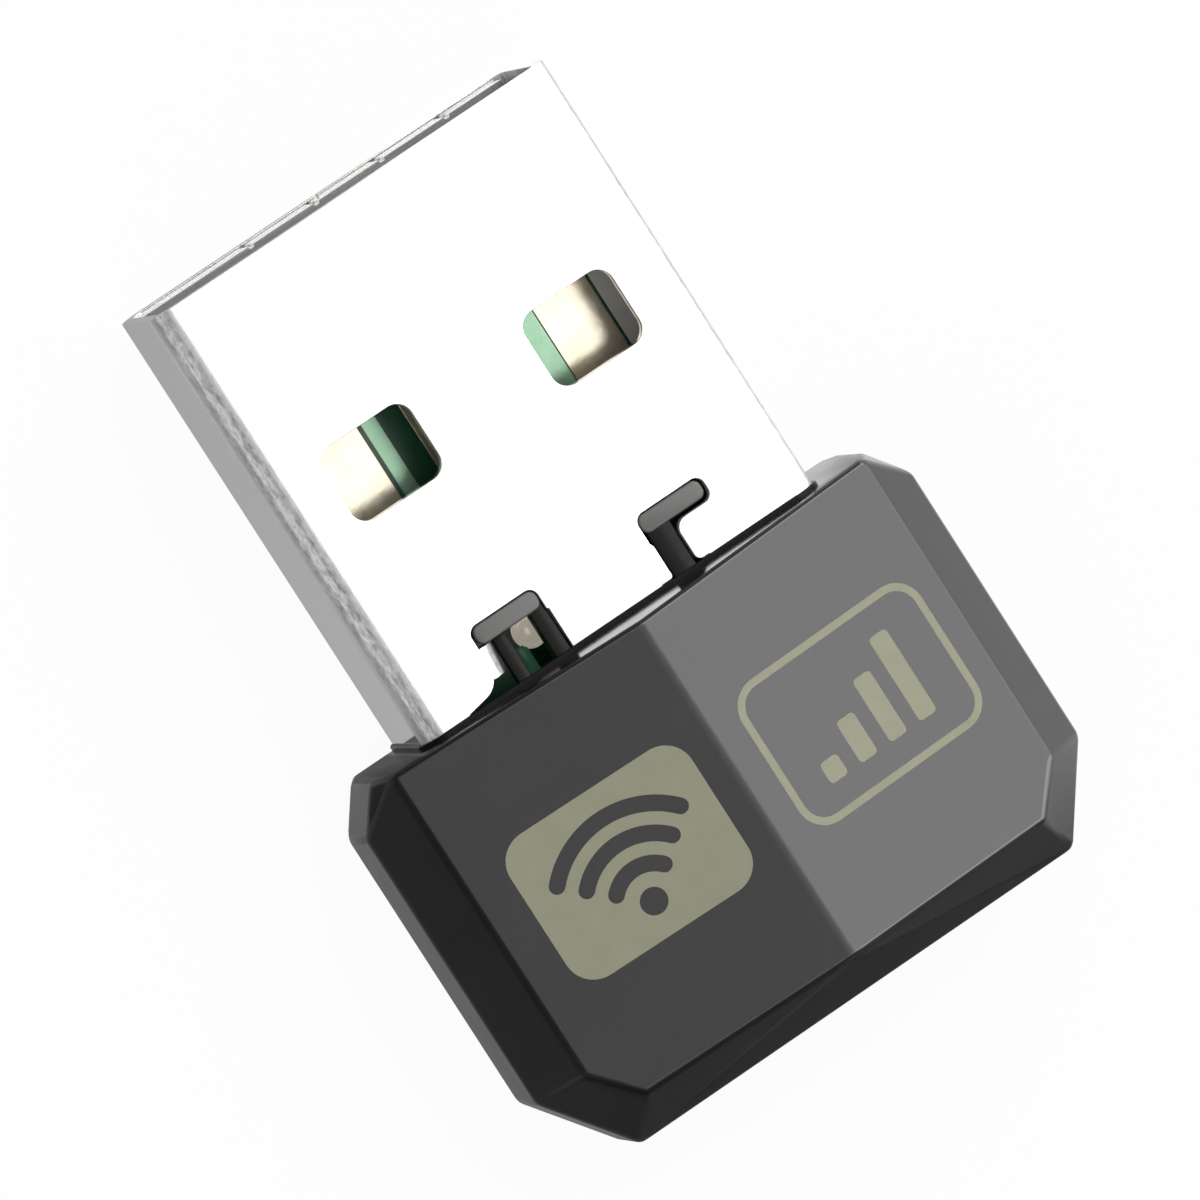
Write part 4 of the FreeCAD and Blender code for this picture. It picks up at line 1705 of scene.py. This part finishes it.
@dataclass
class Board:
    """Green board with copper under its lacquer, contact pads and a solder dome.

    Pads are given as width, distance from the mouth and length, the dome as place across, place ahead
    of the cap, radius and height.
    """

    plug: PlugSizes
    palette: Palette
    edge: float = 0.02
    corner: float = 0.5
    power_x: float = 3.5
    power: tuple[float, float, float] = (1.6, 1.2, 8.9)
    data_x: float = 1.0
    data: tuple[float, float, float] = (1.0, 2.2, 7.9)
    pad_corner: float = 0.3
    pad_edge: float = 0.014
    dome: Box = (-1.76, 0.88, 0.4, 0.26)
    dome_foot: Stops = ((1.25, -0.01), (1.22, 0.008), (1.05, 0.03))
    dome_swell: float = 0.004
    film_z: Point = (-0.005, 0.018)
    film_edge: float = 0.006
    strips: tuple[Point, ...] = ((-2.58, -2.16), (2.1, 2.68))
    strip_rear: float = 2.2
    strip_from_mouth: float = 1.4
    strip_corner: float = 0.15
    rim_inset: Point = (0.08, 0.1)
    # Painted light: a lighter, glowing patch of board seen through the left slot.
    land: Box = (-2.36, -2.06, -1.0, -0.1)
    land_corner: float = 0.1

    def _slab(self) -> bpy.types.Object:
        """The laminate with its lacquer.

        Returns:
            The finished piece.
        """
        plug = self.plug
        tongue = Body("circuit_board").block(
            (-plug.board_half, plug.board_half), (plug.plate_rear - 0.5, plug.board_front),
            (plug.board_bottom, plug.board_top),
        )
        wide = rounded_rectangle(
            -plug.board_rear_half, plug.board_rear_half, plug.board_rear, plug.plate_rear, self.corner, 5
        )
        tongue.joined(Body("wide").prism(wide, plug.board_bottom, plug.board_top))
        tongue.bevelled(self.edge, 1)
        return tongue.piece(self.palette.of(Finish.MASK), "board_laminate", ["circuit_board"], 40.0)

    def _film(self, name: str, finish: Finish, outlines: Iterable[Sequence[Point]]) -> bpy.types.Object:
        """Thin shapes on the board's upper face.

        Args:
            name: The piece's name.
            finish: Its finish.
            outlines: Their outlines.

        Returns:
            The finished piece.
        """
        film = Body(name)
        low, high = (self.plug.board_top + z for z in self.film_z)
        for outline in outlines:
            film.prism(outline, low, high)
        return film.bevelled(self.film_edge, 1).piece(self.palette.of(finish), "board_laminate")

    def _pad(self, name: str, node: str, x: float, sizes: tuple[float, float, float]) -> bpy.types.Object:
        """One contact pad with a rounded rim.

        Args:
            name: The piece's name.
            node: The node that it stands for.
            x: Its middle across the plug.
            sizes: Its width, distance from the mouth and length.

        Returns:
            The finished piece.
        """
        width, front, length = sizes
        far = self.plug.mouth - front
        outline = rounded_rectangle(x - width / 2, x + width / 2, far - length, far, self.pad_corner, 8)
        pad = Body(name).prism(outline, self.plug.board_top, self.plug.pad_top)
        return pad.bevelled(self.pad_edge).piece(self.palette.of(Finish.GOLD), "contact_gold", [node])

    def _dome(self) -> bpy.types.Object:
        """Solder dome with a wetted foot.

        Returns:
            The finished piece.
        """
        x, ahead, radius, height = self.dome
        profile = [(radius * share, z) for share, z in self.dome_foot]
        foot = self.dome_foot[-1][1]
        for i in range(1, 11):
            angle = math.pi / 2 * i / 10
            across, rise = radius * math.cos(angle), (height - foot) * math.sin(angle)
            profile.append((across + self.dome_swell, foot + rise))
        centre = Vector((x, self.plug.front + ahead, self.plug.board_top))
        dome = Body("solder_dome").turned(profile, centre)
        # The dome's finish glows, which is painted light.
        return dome.piece(self.palette.of(Finish.SOLDER), "solder", ["solder_joint"], 60.0)

    def build(self) -> list[bpy.types.Object]:
        """Build and dress the board.

        Returns:
            Its pieces.
        """
        plug = self.plug
        near, far = plug.front + self.strip_rear, plug.mouth - self.strip_from_mouth
        strips = [rounded_rectangle(*strip, near, far, self.strip_corner, 3) for strip in self.strips]
        inner = self.power_x + self.power[0] / 2 + self.rim_inset[0]
        outer = plug.board_half - self.rim_inset[1]
        rims = []
        for side in Side:
            x0, x1 = sorted((side.value * inner, side.value * outer))
            rims.append(rounded_rectangle(x0, x1, near, far, self.strip_corner, 3))
        land = rounded_rectangle(*self.land, self.land_corner, 3)
        return [
            self._slab(),
            self._film("copper_pour", Finish.POUR, strips),
            self._film("board_legend", Finish.LEGEND, rims),
            self._film("lacquered_land_painted_light", Finish.LAND, [land]),
            self._pad("pad_supply", "contact_vbus", self.power_x, self.power),
            self._pad("pad_data_minus", "contact_data_minus", self.data_x, self.data),
            self._pad("pad_data_plus", "contact_data_plus", -self.data_x, self.data),
            self._pad("pad_ground", "contact_ground", -self.power_x, self.power),
            self._dome(),
        ]


@dataclass
class InnerParts:
    """Chips and small parts on the rear board, dressed or rebuilt with their terminals.

    Dressed ones are given as node, finish and slot, rebuilt ones as node and finish.
    """

    palette: Palette
    nodes: dict[str, bpy.types.Object]
    end_share: float = 0.22
    end_proud: float = 0.02
    body_edge: float = 0.02
    end_edge: float = 0.03
    dressed: tuple[tuple[str, Finish, str], ...] = (
        ("radio_chip", Finish.RESIN, "chip_resin"),
        ("flash_memory", Finish.RESIN, "chip_resin"),
        ("voltage_regulator", Finish.RESIN, "chip_resin"),
        ("esd_protector", Finish.RESIN, "chip_resin"),
        ("crystal", Finish.TIN, "solder"),
        ("antenna_trace", Finish.GOLD, "contact_gold"),
        ("power_inductor", Finish.FERRITE, "chip_ceramic"),
    )
    rebuilt: tuple[tuple[str, Finish], ...] = (
        ("ferrite_bead", Finish.FERRITE),
        ("capacitors", Finish.CERAMIC),
        ("resistors", Finish.RESIN),
        ("antenna_matching", Finish.CERAMIC),
    )

    def _chip_boxes(self, node: str) -> list[tuple[Vector, Vector]]:
        """Corners of each separate solid of a node, in millimetres.

        Args:
            node: The node's name.

        Returns:
            The low and the high corner of each solid.
        """
        bm = bmesh.new()
        bm.from_mesh(self.nodes[node].data)
        bmesh.ops.remove_doubles(bm, verts=bm.verts[:], dist=1e-7)
        waiting, boxes = dict.fromkeys(bm.verts), []
        while waiting:
            start = next(iter(waiting))
            del waiting[start]
            group, reached = [start], [start]
            while reached:
                vert = reached.pop()
                for other in (edge.other_vert(vert) for edge in vert.link_edges):
                    if other in waiting:
                        del waiting[other]
                        group.append(other)
                        reached.append(other)
            spots = [v.co / MM for v in group]
            boxes.append(tuple(Vector(end(s[i] for s in spots) for i in range(3)) for end in (min, max)))
        bm.free()
        return boxes

    def _with_ends(self, node: str, finish: Finish) -> list[bpy.types.Object]:
        """Rebuild a node's chips as a body with two tinned ends each.

        Args:
            node: The node's name.
            finish: The bodies' finish.

        Returns:
            The bodies as one piece, and the ends as another.
        """
        core, ends = Body(node + "_bodies"), Body(node + "_ends")
        inset = self.end_proud
        for low, high in self._chip_boxes(node):
            length = (high.x - low.x) * self.end_share
            core.block(
                (low.x + length, high.x - length), (low.y + inset, high.y - inset), (low.z + inset, high.z)
            )
            ends.block((low.x, low.x + length), (low.y, high.y), (low.z, high.z))
            ends.block((high.x - length, high.x), (low.y, high.y), (low.z, high.z))
        body = core.bevelled(self.body_edge).piece(self.palette.of(finish), "chip_ceramic", [node])
        caps = ends.bevelled(self.end_edge).piece(self.palette.of(Finish.TIN), "solder")
        return [body, caps]

    def build(self) -> list[bpy.types.Object]:
        """Dress the kept nodes and rebuild the small parts.

        Returns:
            All of them.
        """
        pieces = []
        for node, finish, slot in self.dressed:
            obj = self.nodes[node]
            obj.data.materials.clear()
            obj.data.materials.append(self.palette.of(finish))
            pieces.append(obj)
        for node, finish in self.rebuilt:
            pieces += self._with_ends(node, finish)
        return pieces


@dataclass
class Studio:
    """Pale table, soft plain light and the camera.

    The glow is the surroundings' brightness in gloss by the angle over the adapter, from its left over
    its top to its right, and the ends by how far the gloss looks along it. The sheen is the table's by
    millimetres across, the dusk by millimetres along. Shades are dark ovals on it, given as their
    middle, their half sizes and the light that is left.
    """

    floor_half: float = 900.0
    floor_drop: float = 0.02
    floor_white: float = 0.86
    floor_roughness: float = 0.9
    shadow_share: float = 0.05
    fill: float = 0.52
    key_from: Point3 = (0.52, 0.5, 0.69)
    key_strength: float = 1.7
    key_angle: float = 50.0
    side_from: Point3 = (-0.6, -0.35, 0.72)
    side_strength: float = 0.45
    side_angle: float = 70.0
    glow_scale: float = 4.6
    glow: Stops = (
        (-180.0, 0.4), (-150.0, 0.5), (-99.0, 0.36), (-88.0, 0.28), (-75.0, 0.18),
        (-55.0, 0.05), (-25.0, 0.1), (-12.0, 0.6), (-6.0, 1.3), (12.0, 1.6),
        (15.0, 1.75), (21.0, 4.5), (100.0, 3.4), (140.0, 1.0), (180.0, 0.4),
    )
    ends_scale: float = 2.4
    ends: Stops = ((0.0, 1.0), (0.24, 1.0), (0.34, 1.9), (0.46, 1.9), (0.6, 0.12), (1.0, 0.1))
    sheen_scale: float = 1.6
    sheen_skew: float = 0.35
    sheen: Stops = (
        (-24.0, 0.28), (-10.0, 0.34), (-7.0, 0.46), (-2.0, 0.42), (3.0, 0.44), (5.2, 0.6), (7.2, 1.25),
        (12.0, 1.4), (20.0, 1.5),
    )
    dusk_skew: float = 0.5
    dusk: Stops = ((-24.0, 0.8), (-18.0, 0.7), (-14.0, 1.0))
    shades: tuple[tuple[float, float, float, float, float], ...] = (
        (-10.8, 1.3, 1.3, 1.0, 0.15), (4.0, -17.5, 10.0, 3.4, 0.3), (8.5, 7.0, 2.0, 6.0, 0.3),
    )
    shade_rim: Point = (0.75, 1.4)
    to_camera: Point3 = (-0.19012, 0.11954, 0.97446)
    to_right: Point3 = (0.81357, -0.53637, 0.22453)
    to_up: Point3 = (0.54951, 0.83547, 0.00472)
    target: Point3 = (0.0, -0.75, 2.7)
    distance: float = 333.3
    pixels_per_mm: float = 39.8008
    centre_px: Point = (605.886, 619.774)
    frame_px: float = 1200.0
    sensor: float = 36.0

    def _floor(self) -> None:
        """Pale table that stays white to the camera and shows its graded side to gloss."""
        half = self.floor_half * MM
        corners = [(-half, -half, 0), (half, -half, 0), (half, half, 0), (-half, half, 0)]
        mesh = bpy.data.meshes.new("table")
        mesh.from_pydata(corners, [], [(0, 1, 2, 3)])
        table = bpy.data.objects.new("table", mesh)
        table.location.z = -self.floor_drop * MM
        bpy.context.scene.collection.objects.link(table)
        sh = Shader("table_paper")
        pale = (self.floor_white,) * 3 + (1.0,)
        sh.set(base_color=pale, roughness=self.floor_roughness, specular_ior_level=0.0)
        sh.feed("Normal", sh.relief(sh.noise(sh.place(), 2.0), 0.004, 0.2))
        paper = sh.surface.outputs[0]
        shown = sh.mixed(1.0 - self.shadow_share, paper, sh.light(Light.SURFACE))
        glossy = sh.mixed(sh.ray(Ray.GLOSSY), paper, sh.light(Light.SURFACE, self._sheen_strength(sh)))
        sh.links.new(sh.mixed(sh.ray(Ray.CAMERA), glossy, shown), sh.output.inputs["Surface"])
        mesh.materials.append(sh.material)

    def _sheen_strength(self, sh: Tree) -> Socket:
        """How bright the table looks in gloss: darker to the left, the rear and in the shades.

        Args:
            sh: The table's node tree.

        Returns:
            The brightness.
        """
        place = sh.place()
        x, y = sh.axis(place, Axis.X), sh.axis(place, Axis.Y)
        across = sh.sum(x, sh.times(y, self.sheen_skew))
        back = sh.sum(y, sh.times(x, self.dusk_skew))
        strength = sh.times(sh.ramp(across, self.sheen, self.sheen_scale), sh.ramp(back, self.dusk))
        for at_x, at_y, half_x, half_y, share in self.shades:
            away = [
                sh.combine(Maths.POWER, sh.times(sh.combine(Maths.SUBTRACT, part, middle), 1 / radius), 2.0)
                for part, middle, radius in ((x, at_x, half_x), (y, at_y, half_y))
            ]
            near = sh.combine(Maths.ROOT, sh.sum(*away))
            strength = sh.times(strength, sh.spread(near, share, 1.0, *self.shade_rim))
        return sh.times(strength, self.sheen_scale)

    def _surroundings(self) -> None:
        """White to the camera, an even fill, and for gloss a soft box above and to the right."""
        world = bpy.data.worlds.new("studio")
        world.use_nodes = True
        bpy.context.scene.world = world
        sh = Tree(world.node_tree)
        out = sh.nodes.new("ShaderNodeOutputWorld")
        direction = sh.nodes.new("ShaderNodeTexCoord").outputs["Generated"]
        tilt = sh.combine(Maths.ANGLE, sh.axis(direction, Axis.X), sh.axis(direction, Axis.Z))
        level = sh.ramp(sh.times(tilt, 180.0 / math.pi), self.glow, self.glow_scale)
        along = sh.combine(Maths.SIZE, sh.axis(direction, Axis.Y))
        strength = sh.times(level, sh.ramp(along, self.ends, self.ends_scale))
        strength = sh.times(strength, self.glow_scale * self.ends_scale)
        glow = sh.light(Light.SURROUNDINGS, strength)
        lit = sh.mixed(sh.ray(Ray.GLOSSY), sh.light(Light.SURROUNDINGS, self.fill), glow)
        shown = sh.mixed(sh.ray(Ray.CAMERA), lit, sh.light(Light.SURROUNDINGS))
        sh.links.new(shown, out.inputs["Surface"])

    @staticmethod
    def _lamp(name: str, origin: Point3, strength: float, angle: float) -> None:
        """Very soft distant lamp that gloss doesn't show.

        Args:
            name: Its name.
            origin: The direction that its light comes from.
            strength: Its strength.
            angle: Its apparent size in degrees.
        """
        light = bpy.data.lights.new(name, "SUN")
        light.energy = strength
        light.angle = math.radians(angle)
        lamp = bpy.data.objects.new(name, light)
        lamp.rotation_euler = Vector(origin).normalized().to_track_quat("Z", "Y").to_euler()
        lamp.visible_glossy = False
        bpy.context.scene.collection.objects.link(lamp)

    def _camera(self) -> None:
        """Camera at the photograph's place."""
        lens = bpy.data.cameras.new("camera")
        lens.sensor_width = self.sensor
        lens.lens = self.sensor * self.pixels_per_mm * self.distance / self.frame_px
        half = self.frame_px / 2
        lens.shift_x = (half - self.centre_px[0]) / self.frame_px
        lens.shift_y = (self.centre_px[1] - half) / self.frame_px
        lens.clip_start, lens.clip_end = 0.01, 20.0
        camera = bpy.data.objects.new("camera", lens)
        turn = Matrix((self.to_right, self.to_up, self.to_camera)).transposed().to_4x4()
        place = (Vector(self.target) + Vector(self.to_camera) * self.distance) * MM
        camera.matrix_world = Matrix.Translation(place) @ turn
        bpy.context.scene.collection.objects.link(camera)
        bpy.context.scene.camera = camera

    def build(self) -> None:
        """Set up floor, surroundings, lamps and camera."""
        self._floor()
        self._surroundings()
        self._lamp("key", self.key_from, self.key_strength, self.key_angle)
        self._lamp("side", self.side_from, self.side_strength, self.side_angle)
        self._camera()
        bpy.context.scene.view_settings.view_transform = "Standard"


def main() -> None:
    """Build every sub-assembly in order and report each piece."""
    logging.basicConfig(level=logging.INFO, format="%(name)s: %(message)s")
    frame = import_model()
    plug, palette = PlugSizes(), Palette()
    cap = CapShell(plug, palette)
    for maker in (
        cap,
        Print(cap),
        PlugShell(plug, palette),
        Retainer(plug, palette),
        TongueTray(plug, palette),
        Board(plug, palette),
        InnerParts(palette, frame["nodes"]),
    ):
        for piece in maker.build():
            LOG.info("%s: %s, %d faces", type(maker).__name__, piece.name, len(piece.data.polygons))
    Studio().build()


if __name__ == "__main__":
    main()
